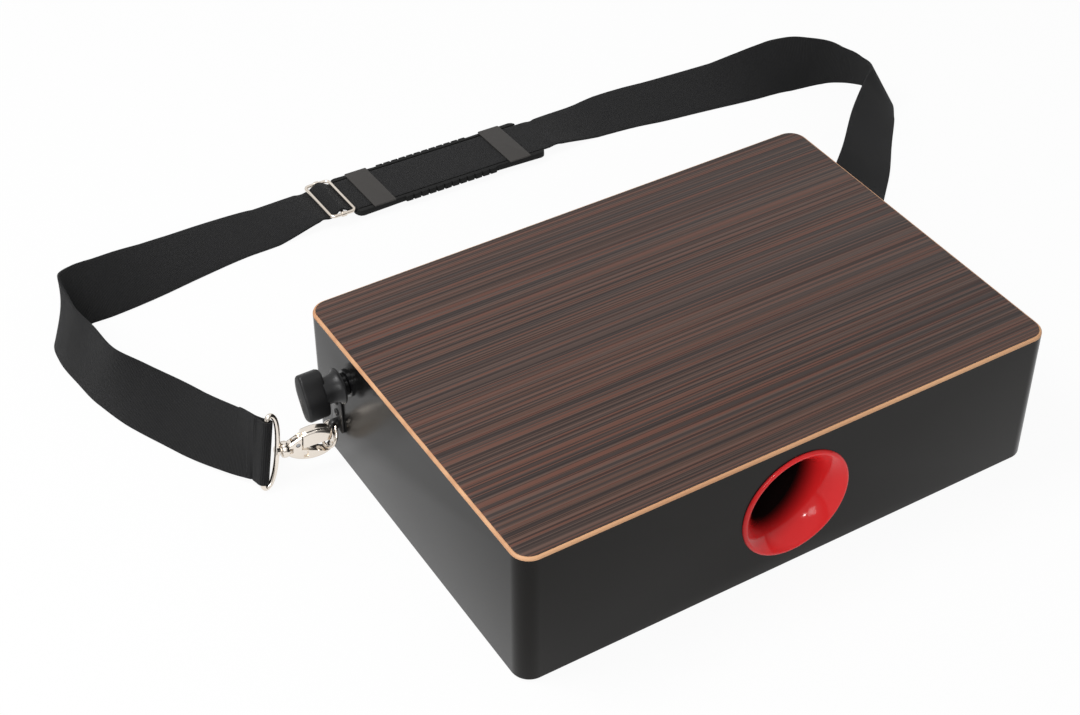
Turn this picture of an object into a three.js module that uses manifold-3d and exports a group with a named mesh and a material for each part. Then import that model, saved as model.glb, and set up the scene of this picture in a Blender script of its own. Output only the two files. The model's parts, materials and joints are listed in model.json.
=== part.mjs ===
// A lap cajon: a flat wooden percussion box with a thin playing panel, a flared bass port, a snare
// that a side knob swings on and off, and a webbing shoulder strap on two swivel snap hooks.
// Millimetres, +Z up. Origin: the centre of the underside, on the surface that the box rests on.
// +X runs along the long side, away from the knob; the port looks along -Y.

import * as THREE from "three";
import { mergeVertices } from "three/addons/utils/BufferGeometryUtils.js";
import Module from "manifold-3d";

const wasm = await Module();
wasm.setup();

const group = new THREE.Group();

// Overall box
const boxLength = 440;
const boxDepth = 303;
const boxHeight = 116.5;
const cornerRadius = 14;
const wallThickness = 12;
const lowerEdgeRound = 1.5;
const matThickness = 1.5;
const matInset = 18;
const matCornerRadius = 10;

// Playing panel
const tapaThickness = 2.8;
const veneerThickness = 0.6;
const veneerInset = 2.1;
const veneerChamfer = 0.3;

// Bottom panel, glue blocks, cleats and screws
const bottomThickness = 6;
const glueBlockLeg = 22;
const cleatSize = 12;
const cleatEndGap = 0.5;
const woodScrewRadius = 1.7;
const woodScrewLength = 20;
const woodScrewHeadRadius = 3.6;
const woodScrewHeadHeight = 2.4;
const woodScrewInset = 7;

// Bass port
const portHeightShare = 0.5;
const portLipRadius = 45;
const portLipProud = 2.2;
const portMouthRadius = 41;
const portThroatRadius = 27;
const portFlareDepth = 38;
const portLength = 84;
const portWall = 2.4;

// Snare knob, shaft and carrier
const snareBelowTop = 28.5;
const snareBlockClearance = 15.5;
const knobReach = 36.5;
const knobCapLength = 18;
const knobCapRadius = 18;
const knobLobes = 6;
const knobLobeDepth = 1.6;
const knobEdgeRound = 2.4;
const knobCrown = 1.2;
const knobHubGap = 1;
const hubFrontRadius = 14;
const hubBackRadius = 10;
const collarRadius = 8.5;
const collarLength = 3.4;
const bushFlangeRadius = 10.5;
const bushFlangeThickness = 1.8;
const bushBodyRadius = 7;
const shaftRadius = 4;
const shaftInKnobDepth = 24;
const bearingSize = 24;
const bearingLength = 18;
const bearingSocketDepth = 12;
const armThickness = 5;
const armRingRadius = 8.5;
const armInset = 25;
const battenLength = 300;
const battenDepth = 24;
const battenThickness = 8;
const battenOffset = 16;
const snareWireRadius = 0.8;
const snareWireCount = 10;
const snareWireLength = 100;
const snareFanWidth = 70;
const snareFanSpacing = 150;
const snarePlateDepth = 9;
const snarePlateThickness = 1.2;
const snareFreeGap = 0.4;

// Strap eye on each side wall
const eyeY = 109;
const eyePlateWidth = 16;
const eyePlateHeight = 32;
const eyePlateBelowLug = 7;
const eyePlateThickness = 1.6;
const eyePlateCorner = 4;
const eyeRingRadius = 9.6;
const eyeRingWire = 1.2;
const eyeLugWidth = 4;
const eyeLugRadius = 4.2;
const eyeBoreRadius = 2.6;
const eyeLugStandOff = 4.6;
const eyeScrewSpacing = 10.5;
const eyeScrewHeadRadius = 2.9;
const eyeScrewHeadHeight = 1.6;
const eyeScrewLength = 11;

// Swivel snap hook, along its own u axis from head to nose and v axis upward
const hookLength = 40;
const hookHalfHeight = 13;
const hookThickness = 8;
const hookEdgeRound = 1.5;
const hookWallGap = 3.3;
const hookNoseHeight = 22;
const gatePivotU = 9;
const gatePivotV = 4;
const gatePinRadius = 1.5;
const gateTongueWidth = 1.8;
const gateTongueRadius = 4.4;
const cheekSlotWidth = 5;
const springWire = 0.28;
const springTurns = 2;
const swivelHeadRadius = 6.4;
const swivelHeadLength = 6;
const studRadius = 2;
const studHeadRadius = 4;
const studHeadLength = 1.8;
const studNeck = 3.8;
const swivelPlay = 1.1;

// Loop that carries the webbing on each hook
const loopBarLength = 55;
const loopDepth = 10.5;
const loopWire = 2;

// Webbing, slider and shoulder pad
const webbingWidth = 50;
const webbingThickness = 1.6;
const floorGap = 0.2;
const foldLength = 24;
const sliderWidth = 60;
const sliderLength = 25;
const sliderWire = 1.5;
const sliderCorner = 4;
const sliderU = -105;
const padLength = 186;
const padWidth = 65;
const padThickness = 6.2;
const padFloor = 3;
const padCorner = 9;
const padEdgeRound = 1.2;
const padChannelWidth = 53;
const padToothCount = 12;
const padToothPitch = 7.5;
const padToothDepth = 2.6;
const padToothCentre = -2;
const bridgeLength = 21;
const bridgeThickness = 2.2;
const bridgeRise = 2.3;
const bridgePlaces = [-66.6, 66.6];
const padCentreX = 21.3;
const padCentreY = 394.4;
const padYaw = -1.6;
const padRoll = -4.5;

// Clearances
const runningGap = 0.3;
const seatGap = 0.3;
const overrun = 2;

// How finely round forms are divided
const roundSides = 28;
const smallSides = 12;
const wireSides = 7;
const wireSteps = 44;
const bandStep = 9;
const bandTwist = 0.1;
const cornerSteps = 6;

const degree = Math.PI / 180;

// Levels that the sizes above give
const baseZ = matThickness;
const topZ = baseZ + boxHeight;
const tapaUnderZ = topZ - tapaThickness;
const veneerZ = topZ - veneerThickness;
const panelTopZ = baseZ + bottomThickness;
const wallX = boxLength / 2;
const wallY = boxDepth / 2;
const innerX = wallX - wallThickness;
const innerY = wallY - wallThickness;
const snareZ = topZ - snareBelowTop;
const snareY = innerY - glueBlockLeg - snareBlockClearance - bearingSize / 2;
const armSpread = battenLength - 2 * armInset;
const portZ = baseZ + boxHeight * portHeightShare;

const colours = {
  wall: { color: 0x2a2a2b, roughness: 0.35, metalness: 0 },
  ply: { color: 0xd9b27c, roughness: 0.6, metalness: 0 },
  veneer: { color: 0x4a3731, roughness: 0.45, metalness: 0 },
  softwood: { color: 0xc9a873, roughness: 0.8, metalness: 0 },
  port: { color: 0xd6202c, roughness: 0.2, metalness: 0 },
  knob: { color: 0x1d1d1e, roughness: 0.5, metalness: 0 },
  nickel: { color: 0xd8d2c9, roughness: 0.18, metalness: 1 },
  steel: { color: 0xa4a5a8, roughness: 0.35, metalness: 1 },
  rubber: { color: 0x1b1b1c, roughness: 0.9, metalness: 0 },
  webbing: { color: 0x242425, roughness: 0.95, metalness: 0 },
  pad: { color: 0x202021, roughness: 0.7, metalness: 0 },
};

// Places one named piece in the group
function piece(name, geometry, colour, parent = group) {
  const mesh = new THREE.Mesh(geometry, new THREE.MeshStandardMaterial(colours[colour]));
  mesh.name = name;
  parent.add(mesh);
  return mesh;
}

// Merges shared vertices and turns the faces outwards
function closed(geometry) {
  const bare = geometry.index ? geometry.toNonIndexed() : geometry.clone();
  bare.deleteAttribute("normal");
  bare.deleteAttribute("uv");
  const merged = mergeVertices(bare, 1e-4);
  const p = merged.attributes.position;
  const index = Array.from(merged.index.array);
  const a = new THREE.Vector3();
  const b = new THREE.Vector3();
  const c = new THREE.Vector3();
  const kept = [];
  let volume = 0;
  for (let i = 0; i < index.length; i += 3) {
    const [i0, i1, i2] = [index[i], index[i + 1], index[i + 2]];
    if (i0 === i1 || i1 === i2 || i0 === i2) continue;
    kept.push(i0, i1, i2);
    a.fromBufferAttribute(p, i0);
    b.fromBufferAttribute(p, i1);
    c.fromBufferAttribute(p, i2);
    volume += a.dot(b.cross(c));
  }
  if (volume < 0) kept.reverse();
  merged.setIndex(kept);
  merged.computeVertexNormals();
  return merged;
}

function solid(geometry) {
  const shape = closed(geometry);
  return new wasm.Manifold(new wasm.Mesh({
    numProp: 3,
    vertProperties: new Float32Array(shape.attributes.position.array),
    triVerts: new Uint32Array(shape.index.array),
  }));
}

function fromSolid(body) {
  const mesh = body.getMesh();
  const geometry = new THREE.BufferGeometry();
  geometry.setAttribute("position", new THREE.BufferAttribute(new Float32Array(mesh.vertProperties), 3));
  geometry.setIndex(new THREE.BufferAttribute(new Uint32Array(mesh.triVerts), 1));
  geometry.computeVertexNormals();
  return geometry;
}

function cut(geometry, ...tools) {
  let body = solid(geometry);
  for (const tool of tools) body = body.subtract(solid(tool));
  return fromSolid(body);
}

function join(geometry, ...others) {
  let body = solid(geometry);
  for (const other of others) body = body.add(solid(other));
  return fromSolid(body);
}

function common(geometry, other) {
  return fromSolid(solid(geometry).intersect(solid(other)));
}

// A box between two corners
function block(low, high) {
  const size = high.map((value, axis) => value - low[axis]);
  const geometry = new THREE.BoxGeometry(...size);
  const middle = high.map((value, axis) => (value + low[axis]) / 2);
  return geometry.translate(...middle);
}

// A cylinder along X, Y or Z, from one place on that axis to another
function rod(axis, from, to, radius, sides, at) {
  const geometry = new THREE.CylinderGeometry(radius, radius, to - from, sides);
  geometry.translate(0, (from + to) / 2, 0);
  if (axis === "x") geometry.rotateZ(-Math.PI / 2);
  if (axis === "z") geometry.rotateX(Math.PI / 2);
  return geometry.translate(...at);
}

// A revolved form whose profile is written as [radius, place along the axis]
function turned(profile, sides) {
  const points = profile.map(([radius, along]) => new THREE.Vector2(radius, along));
  return new THREE.LatheGeometry(points, sides);
}

// Corner points of a rectangle with round corners, going round once
function roundedOutline(width, depth, radius, steps = cornerSteps) {
  const points = [];
  const corners = [[1, 1, 0], [-1, 1, 1], [-1, -1, 2], [1, -1, 3]];
  for (const [sx, sy, quarter] of corners) {
    for (let step = 0; step <= steps; step += 1) {
      const angle = (quarter + step / steps) * Math.PI / 2;
      const x = sx * (width / 2 - radius) + radius * Math.cos(angle);
      const y = sy * (depth / 2 - radius) + radius * Math.sin(angle);
      points.push(new THREE.Vector2(x, y));
    }
  }
  return points;
}

// A closed skin through rings of equal length, with a cap on the first and last ring. Each side between
// two rings is split along one diagonal, and crossed says which sides take the other one.
function loft(rings, crossed = () => false) {
  const count = rings[0].length;
  const positions = rings.flat().flatMap((point) => [point.x, point.y, point.z]);
  const index = [];
  for (let ring = 0; ring < rings.length - 1; ring += 1) {
    for (let k = 0; k < count; k += 1) {
      const a = ring * count + k;
      const b = ring * count + (k + 1) % count;
      if (crossed(ring, k)) index.push(a, b, a + count, b, b + count, a + count);
      else index.push(a, b, b + count, a, b + count, a + count);
    }
  }
  const ends = [[0, true], [rings.length - 1, false]];
  for (const [ring, flip] of ends) {
    const middle = new THREE.Vector3();
    for (const point of rings[ring]) middle.addScaledVector(point, 1 / count);
    const centre = positions.length / 3;
    positions.push(middle.x, middle.y, middle.z);
    for (let k = 0; k < count; k += 1) {
      const a = ring * count + k;
      const b = ring * count + (k + 1) % count;
      index.push(...(flip ? [centre, b, a] : [centre, a, b]));
    }
  }
  const geometry = new THREE.BufferGeometry();
  geometry.setAttribute("position", new THREE.Float32BufferAttribute(positions, 3));
  geometry.setIndex(index);
  return geometry;
}

// A rounded rectangle drawn at several levels: [inset, level] pairs from the bottom up
function steppedPlate(width, depth, radius, levels) {
  const rings = levels.map(([inset, level]) => {
    const outline = roundedOutline(width - 2 * inset, depth - 2 * inset, radius - inset);
    return outline.map((point) => new THREE.Vector3(point.x, point.y, level));
  });
  return loft(rings);
}

// A smooth closed outline through points given as shares of a length and a half height
function shareShape(shares, length, height, divisions) {
  const points = shares.map(([u, v]) => new THREE.Vector3(u * length, v * height, 0));
  const curve = new THREE.CatmullRomCurve3(points, true, "centripetal");
  const outline = curve.getPoints(divisions).slice(0, divisions);
  return new THREE.Shape(outline.map((point) => new THREE.Vector2(point.x, point.y)));
}

// An outline extruded to a thickness about its middle, with rounded edges
function casting(shape, thickness, round, steps = 2) {
  const geometry = new THREE.ExtrudeGeometry(shape, {
    depth: thickness - 2 * round,
    bevelEnabled: round > 0,
    bevelThickness: round,
    bevelSize: round,
    bevelOffset: -round,
    bevelSegments: steps,
    curveSegments: cornerSteps,
  });
  return geometry.translate(0, 0, round - thickness / 2);
}

// Walls: one rounded envelope, cut into four butt-jointed boards
function makeWalls() {
  const envelope = steppedPlate(boxLength, boxDepth, cornerRadius, [
    [lowerEdgeRound, baseZ],
    [lowerEdgeRound * 0.3, baseZ + lowerEdgeRound * 0.3],
    [0, baseZ + lowerEdgeRound],
    [0, tapaUnderZ],
  ]);
  const portHole = rod("y", -wallY - overrun, -innerY + overrun, portSeatRadius(), roundSides, [0, 0, portZ]);
  const bushHole = rod("x", -wallX - overrun, -innerX + overrun, bushBodyRadius + seatGap, smallSides,
    [0, snareY, snareZ]);
  const front = common(envelope, block([-wallX, -wallY, baseZ], [wallX, -innerY, tapaUnderZ]));
  piece("front_board", cut(front, portHole), "wall");
  piece("back_board", common(envelope, block([-wallX, innerY, baseZ], [wallX, wallY, tapaUnderZ])), "wall");
  for (const [name, side] of [["left_board", -1], ["right_board", 1]]) {
    const [near, far] = side < 0 ? [-wallX, -innerX] : [innerX, wallX];
    const board = common(envelope, block([near, -innerY, baseZ], [far, innerY, tapaUnderZ]));
    const holes = eyeScrewPlaces().map((z) => rod("x", -eyeScrewLength - seatGap, overrun,
      woodScrewRadius + seatGap, smallSides, [0, 0, 0]).rotateZ(side < 0 ? Math.PI : 0)
      .translate(side * wallX, eyeY, z));
    if (side < 0) holes.push(bushHole);
    piece(name, cut(board, ...holes), "wall");
  }
}

// Playing panel with its rounded ply edge, and the face veneer on top of it
function makeTapa() {
  const round = [];
  const steps = 4;
  const lower = tapaUnderZ + veneerThickness * 0.5;
  for (let step = 0; step <= steps; step += 1) {
    const angle = (step / steps) * Math.PI / 2;
    round.push([veneerInset * (1 - Math.cos(angle)), lower + (veneerZ - lower) * Math.sin(angle)]);
  }
  piece("tapa_panel", steppedPlate(boxLength, boxDepth, cornerRadius, [[0, tapaUnderZ], ...round]), "ply");
  piece("tapa_veneer", steppedPlate(boxLength, boxDepth, cornerRadius, [
    [veneerInset, veneerZ],
    [veneerInset, topZ - veneerChamfer],
    [veneerInset + veneerChamfer, topZ],
  ]), "veneer");
}

function screwPlaces() {
  const x = innerX - woodScrewInset;
  const y = innerY - woodScrewInset;
  return [[-x, -y], [x, -y], [x, y], [-x, y]];
}

// Bottom panel between the walls, glued and screwed to corner blocks and cleats
function makeBottom() {
  const holes = screwPlaces().map(([x, y]) => screwHole().translate(x, y, baseZ));
  piece("bottom_panel", cut(block([-innerX, -innerY, baseZ], [innerX, innerY, panelTopZ]), ...holes), "ply");
  screwPlaces().forEach(([x, y], number) => {
    const [sx, sy] = [Math.sign(x), Math.sign(y)];
    const corner = new THREE.Shape([
      new THREE.Vector2(sx * innerX, sy * innerY),
      new THREE.Vector2(sx * (innerX - glueBlockLeg), sy * innerY),
      new THREE.Vector2(sx * innerX, sy * (innerY - glueBlockLeg)),
    ]);
    const prism = new THREE.ExtrudeGeometry(corner, { depth: tapaUnderZ - panelTopZ, bevelEnabled: false });
    prism.translate(0, 0, panelTopZ);
    piece(`corner_block_${number + 1}`, cut(prism, screwHole().translate(x, y, baseZ)), "softwood");
    piece(`bottom_screw_${number + 1}`, woodScrew().translate(x, y, baseZ), "steel");
  });
  const cleatX = innerX - glueBlockLeg - cleatEndGap;
  piece("front_cleat", block([-cleatX, -innerY, panelTopZ], [cleatX, -innerY + cleatSize, panelTopZ + cleatSize]),
    "softwood");
  piece("back_cleat", block([-cleatX, innerY - cleatSize, panelTopZ], [cleatX, innerY, panelTopZ + cleatSize]),
    "softwood");
  const matRound = matThickness * 0.3;
  piece("non_slip_mat", steppedPlate(boxLength - 2 * matInset, boxDepth - 2 * matInset, matCornerRadius, [
    [matRound, 0],
    [0, matRound],
    [0, baseZ],
  ]), "rubber");
}

// Countersunk screw standing head down, its head just inside the panel's face
function woodScrew() {
  const head = seatGap;
  return turned([
    [0, head],
    [woodScrewHeadRadius, head],
    [woodScrewRadius, head + woodScrewHeadHeight],
    [woodScrewRadius, head + woodScrewLength - woodScrewRadius * 2],
    [0, head + woodScrewLength],
  ], smallSides).rotateX(Math.PI / 2);
}

function screwHole() {
  const top = woodScrewLength + 2 * seatGap;
  return turned([
    [0, -overrun],
    [woodScrewHeadRadius + seatGap, -overrun],
    [woodScrewHeadRadius + seatGap, seatGap],
    [woodScrewRadius + seatGap, seatGap + woodScrewHeadHeight],
    [woodScrewRadius + seatGap, top],
    [0, top],
  ], smallSides).rotateX(Math.PI / 2);
}

// Inner radius of the horn at a depth behind the wall's face
function hornRadius(depth) {
  const share = Math.min(Math.max(depth / portFlareDepth, 0), 1);
  return portThroatRadius + (portMouthRadius - portThroatRadius) * (1 - share) ** 2.2;
}

function portSeatRadius() {
  return portMouthRadius + portWall * 0.6 + seatGap;
}

// Flared port: rounded lip outside, horn, then a straight tube
function makePort() {
  const inner = [];
  const outer = [];
  const steps = 7;
  for (let step = 0; step <= steps; step += 1) {
    const depth = portFlareDepth * (step / steps) ** 1.4;
    inner.push([hornRadius(depth), depth]);
    if (depth > portWall) {
      const radius = Math.min(hornRadius(depth) + portWall, portSeatRadius() - seatGap);
      outer.push([radius, depth]);
    }
  }
  const seat = portSeatRadius() - seatGap;
  const crestRadius = (portLipRadius + portMouthRadius) / 2;
  const crestHalf = (portLipRadius - portMouthRadius) / 2;
  const lip = [];
  const lipSteps = 6;
  for (let step = 1; step < lipSteps; step += 1) {
    const angle = Math.PI * (step / lipSteps);
    lip.push([crestRadius + crestHalf * Math.cos(angle), -portLipProud * Math.sin(angle)]);
  }
  const profile = [
    [seat, 0],
    [portLipRadius, 0],
    ...lip,
    ...inner,
    [portThroatRadius, portLength],
    [portThroatRadius + portWall, portLength],
    ...outer.reverse(),
    [seat, portWall],
    [seat, 0],
  ];
  const port = turned(profile, roundSides + smallSides);
  piece("bass_port", closed(port.translate(0, -wallY, 0).translate(0, 0, portZ)), "port");
}

// Knob with a lobed cap and a bell-shaped hub, bored for the shaft
function makeKnob() {
  const outline = [];
  const steps = knobLobes * 8;
  for (let step = 0; step < steps; step += 1) {
    const angle = (step / steps) * 2 * Math.PI;
    const wave = Math.abs(Math.cos(knobLobes * angle / 2)) ** 1.6;
    const radius = knobCapRadius - knobLobeDepth * wave;
    outline.push(new THREE.Vector2(radius * Math.cos(angle), radius * Math.sin(angle)));
  }
  const capFront = -wallX - knobReach;
  const capBack = capFront + knobCapLength;
  const levels = [
    [1 - knobEdgeRound * 3 / knobCapRadius, capFront],
    [1 - knobEdgeRound / knobCapRadius, capFront + knobCrown],
    [1 - knobEdgeRound * 0.3 / knobCapRadius, capFront + knobCrown + knobEdgeRound * 0.6],
    [1, capFront + knobCrown + knobEdgeRound * 1.6],
    [1, capBack - knobEdgeRound],
    [1 - knobEdgeRound * 0.3 / knobCapRadius, capBack - knobEdgeRound * 0.3],
    [1 - knobEdgeRound / knobCapRadius, capBack],
  ];
  const cap = loft(levels.map(([scale, x]) => outline.map((point) => new THREE.Vector3(x, point.x * scale,
    point.y * scale))));
  const hubEnd = -wallX - bushFlangeThickness - collarLength - knobHubGap;
  const hubLength = hubEnd - capBack;
  const profile = [[0, -overrun], [hubFrontRadius, -overrun], [hubFrontRadius, hubLength * 0.2]];
  const hubSteps = 5;
  for (let step = 1; step <= hubSteps; step += 1) {
    const angle = (step / hubSteps) * Math.PI / 2;
    profile.push([
      hubBackRadius + (hubFrontRadius - hubBackRadius) * Math.cos(angle),
      hubLength * (0.2 + 0.8 * Math.sin(angle)),
    ]);
  }
  profile.push([0, hubLength]);
  const hub = turned(profile, roundSides).rotateZ(-Math.PI / 2).translate(capBack, 0, 0);
  const bore = rod("x", hubEnd - shaftInKnobDepth - seatGap, hubEnd + overrun, shaftRadius + seatGap, smallSides,
    [0, 0, 0]);
  const knob = cut(join(cap, hub), bore);
  piece("snare_knob", knob.translate(0, snareY, snareZ), "knob");
  return hubEnd;
}

// Shaft, bush, collar and far bearing that the knob turns in
function makeSnareShaft(hubEnd) {
  const at = [0, snareY, snareZ];
  const flangeFace = -wallX - bushFlangeThickness;
  const farEnd = innerX - bearingLength + bearingSocketDepth - runningGap;
  piece("snare_shaft", rod("x", hubEnd - shaftInKnobDepth, farEnd, shaftRadius, smallSides, at), "steel");
  const flange = rod("x", flangeFace, -wallX, bushFlangeRadius, roundSides, at);
  const barrel = rod("x", flangeFace, -innerX + overrun, bushBodyRadius, roundSides, at);
  const bushBore = rod("x", flangeFace - overrun, -innerX + 2 * overrun, shaftRadius + runningGap, smallSides, at);
  piece("shaft_bush", cut(join(flange, barrel), bushBore), "knob");
  const collarFront = flangeFace - collarLength;
  const collar = turned([
    [shaftRadius + runningGap, 0],
    [collarRadius - collarLength * 0.15, 0],
    [collarRadius, collarLength * 0.15],
    [collarRadius, collarLength * 0.85],
    [collarRadius - collarLength * 0.15, collarLength],
    [shaftRadius + runningGap, collarLength],
    [shaftRadius + runningGap, 0],
  ], roundSides);
  piece("shaft_collar", closed(collar.rotateZ(-Math.PI / 2).translate(collarFront, snareY, snareZ)), "knob");
  const bearing = block(
    [innerX - bearingLength, snareY - bearingSize / 2, snareZ - bearingSize / 2],
    [innerX, snareY + bearingSize / 2, snareZ + bearingSize / 2],
  );
  const socket = rod("x", innerX - bearingLength - overrun, innerX - bearingLength + bearingSocketDepth,
    shaftRadius + runningGap, smallSides, at);
  piece("shaft_bearing", cut(bearing, socket), "softwood");
}

// Arms, batten and the two fans of snare wires that press up on the playing panel
function makeSnares() {
  const wireZ = tapaUnderZ - snareFreeGap - snareWireRadius;
  const plateTop = wireZ - snareWireRadius * 0.8;
  const battenTop = plateTop - snarePlateThickness;
  const battenLow = battenTop - battenThickness;
  const battenFar = snareY - battenOffset + battenDepth / 2;
  const battenNear = battenFar - battenDepth;
  for (const [name, side] of [["snare_arm_left", -1], ["snare_arm_right", 1]]) {
    const x = side * armSpread / 2;
    const ring = rod("x", x - armThickness / 2, x + armThickness / 2, armRingRadius, roundSides,
      [0, snareY, snareZ]);
    const web = new THREE.Shape([
      new THREE.Vector2(snareY - armRingRadius * 0.9, snareZ),
      new THREE.Vector2(snareY + armRingRadius * 0.5, snareZ + armRingRadius * 0.5),
      new THREE.Vector2(battenFar, battenLow),
      new THREE.Vector2(battenNear, battenLow),
    ]);
    const plate = new THREE.ExtrudeGeometry(web, { depth: armThickness, bevelEnabled: false });
    plate.applyMatrix4(new THREE.Matrix4().makeBasis(new THREE.Vector3(0, 1, 0), new THREE.Vector3(0, 0, 1),
      new THREE.Vector3(1, 0, 0)));
    plate.translate(x - armThickness / 2, 0, 0);
    const hole = rod("x", x - armThickness, x + armThickness, shaftRadius + seatGap, smallSides,
      [0, snareY, snareZ]);
    piece(name, cut(join(ring, plate), hole), "steel");
  }
  piece("snare_batten", block([-battenLength / 2, battenNear, battenLow], [battenLength / 2, battenFar, battenTop]),
    "softwood");
  const fans = [["snare_wires_left", -1], ["snare_wires_right", 1]];
  for (const [name, side] of fans) {
    const middle = side * snareFanSpacing / 2;
    const half = snareFanWidth / 2;
    const rear = battenFar - snarePlateDepth;
    const free = rear - snareWireLength;
    const plates = [rear, free].map((y) => block(
      [middle - half, y, battenTop],
      [middle + half, y + snarePlateDepth, plateTop],
    ));
    const wires = [];
    const pitch = (snareFanWidth - 4 * snareWireRadius) / (snareWireCount - 1);
    for (let wire = 0; wire < snareWireCount; wire += 1) {
      const x = middle - half + 2 * snareWireRadius + wire * pitch;
      wires.push(rod("y", free + snareWireRadius, battenFar - snareWireRadius, snareWireRadius, wireSides - 2,
        [x, 0, wireZ]));
    }
    piece(name, join(plates[0], plates[1], ...wires), "steel");
  }
}

// How far the hook's axis drops towards its nose, and how each hook and loop is turned. The strap
// pulls each hook towards the back of the box, the right one more than the left.
const sides = [
  { name: "left", side: -1, hookYaw: 8, hookPitch: 4, loopYaw: -1, loopPitch: 15, loopRoll: 78 },
  { name: "right", side: 1, hookYaw: 19, hookPitch: 4, loopYaw: 31, loopPitch: 8, loopRoll: 40 },
];

// The hook's outline and the space that its gate closes, as shares of length and half height
const leafShares = [
  [0.02, -0.31], [0.18, -0.73], [0.45, -0.96], [0.73, -0.85], [0.91, -0.46], [1, 0.08],
  [0.965, 0.58], [0.82, 0.85], [0.59, 1], [0.32, 0.88], [0.14, 0.58], [0.02, 0.31],
];
const mouthShares = [
  [0.296, 1.6], [0.296, -0.08], [0.61, -0.35], [0.73, -0.47], [0.84, -0.43], [0.892, -0.23],
  [0.892, 0.55], [1.05, 0.55], [1.05, 1.6],
];
const gateShares = [[0.314, 1.6], [0.314, 0.08], [0.866, 0.33], [0.866, 1.6]];
const ringSeatShares = [0.762, -0.31];

// Frame of the hook: origin at the nose, x along the hook from head to nose, z upward
function hookFrame({ side, hookYaw, hookPitch }) {
  const nose = new THREE.Vector3(side * (wallX + hookWallGap), eyeY, baseZ + hookNoseHeight);
  const away = new THREE.Vector3(
    side * Math.cos(hookYaw * degree) * Math.cos(hookPitch * degree),
    Math.sin(hookYaw * degree) * Math.cos(hookPitch * degree),
    Math.sin(hookPitch * degree),
  );
  const along = away.clone().negate();
  const across = new THREE.Vector3(0, 0, 1).cross(along).normalize();
  const upward = along.clone().cross(across);
  const frame = new THREE.Matrix4().makeBasis(along, across, upward);
  return frame.setPosition(nose.addScaledVector(along, -hookLength));
}

// Where the ring passes through the hook's mouth, in the part's frame
function ringSeat(place) {
  const [u, v] = ringSeatShares;
  return new THREE.Vector3(u * hookLength, 0, v * hookHalfHeight).applyMatrix4(hookFrame(place));
}

function lugX() {
  return wallX + eyeLugStandOff;
}

// The ring hangs from the lug out to the hook's mouth, so its tilt follows from both places
function ringTop(place) {
  const seat = ringSeat(place);
  const run = Math.abs(seat.x) - lugX();
  const rise = Math.sqrt((2 * eyeRingRadius) ** 2 - run ** 2 - (seat.y - eyeY) ** 2);
  return new THREE.Vector3(place.side * lugX(), eyeY, seat.z + rise);
}

function eyeScrewPlaces() {
  const lug = ringTop(sides[0]).z;
  return [lug + eyeScrewSpacing, lug + 2 * eyeScrewSpacing];
}

// Places along the hook of its swivel head's back and of the pocket that the stud's head turns in
const headBack = -swivelHeadLength * 0.6;
const pocketStart = headBack + swivelHeadLength - studHeadLength - 2 * runningGap;

// Wall plate with a bored lug, its two screws and the ring
function makeEye(place) {
  const { name, side } = place;
  const top = ringTop(place);
  const lugZ = ringTop(sides[0]).z;
  const outline = new THREE.Shape(roundedOutline(eyePlateWidth, eyePlateHeight, eyePlateCorner));
  const plate = casting(outline, eyePlateThickness, eyePlateThickness * 0.25, 1);
  plate.rotateX(Math.PI / 2).rotateZ(Math.PI / 2);
  plate.translate(side * (wallX + eyePlateThickness / 2), eyeY, lugZ - eyePlateBelowLug + eyePlateHeight / 2);
  const lugTip = side * lugX();
  const lug = rod("y", -eyeLugWidth / 2, eyeLugWidth / 2, eyeLugRadius, roundSides, [lugTip, eyeY, lugZ]);
  const inner = side * (wallX + eyePlateThickness / 2);
  const foot = block(
    [Math.min(inner, lugTip), eyeY - eyeLugWidth / 2, lugZ - eyeLugRadius],
    [Math.max(inner, lugTip), eyeY + eyeLugWidth / 2, lugZ + eyeLugRadius],
  );
  const bore = rod("y", -eyeLugWidth, eyeLugWidth, eyeBoreRadius, smallSides, [lugTip, eyeY, lugZ]);
  const holes = eyeScrewPlaces().map((z) => rod("x", -overrun, overrun, woodScrewRadius + seatGap, smallSides,
    [side * wallX, eyeY, z]));
  const wide = join(plate, lug, foot);
  piece(`${name}_eye_plate`, cut(wide, bore, ...holes), "nickel");
  eyeScrewPlaces().forEach((z, number) => {
    const headBase = eyePlateThickness + seatGap;
    const screw = turned([
      [0, -eyeScrewLength],
      [woodScrewRadius, woodScrewRadius * 2 - eyeScrewLength],
      [woodScrewRadius, headBase],
      [eyeScrewHeadRadius, headBase],
      [eyeScrewHeadRadius * 0.8, headBase + eyeScrewHeadHeight * 0.7],
      [0, headBase + eyeScrewHeadHeight],
    ], smallSides).rotateZ(-side * Math.PI / 2);
    piece(`${name}_eye_screw_${number + 1}`, closed(screw.translate(side * wallX, eyeY, z)), "nickel");
  });
  const seat = ringSeat(place);
  const ring = new THREE.TorusGeometry(eyeRingRadius, eyeRingWire, wireSides, roundSides);
  const down = seat.clone().sub(top).normalize();
  const across = new THREE.Vector3(0, 1, 0).addScaledVector(down, -down.y).normalize();
  const frame = new THREE.Matrix4().makeBasis(across, down, across.clone().cross(down));
  frame.setPosition(top.clone().add(seat).multiplyScalar(0.5));
  piece(`${name}_eye_ring`, closed(ring.applyMatrix4(frame)), "nickel");
}

// Turns an outline drawn in u and v so that it stands in the hook's own frame
function standUp(geometry) {
  return geometry.rotateX(Math.PI / 2);
}

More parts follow.
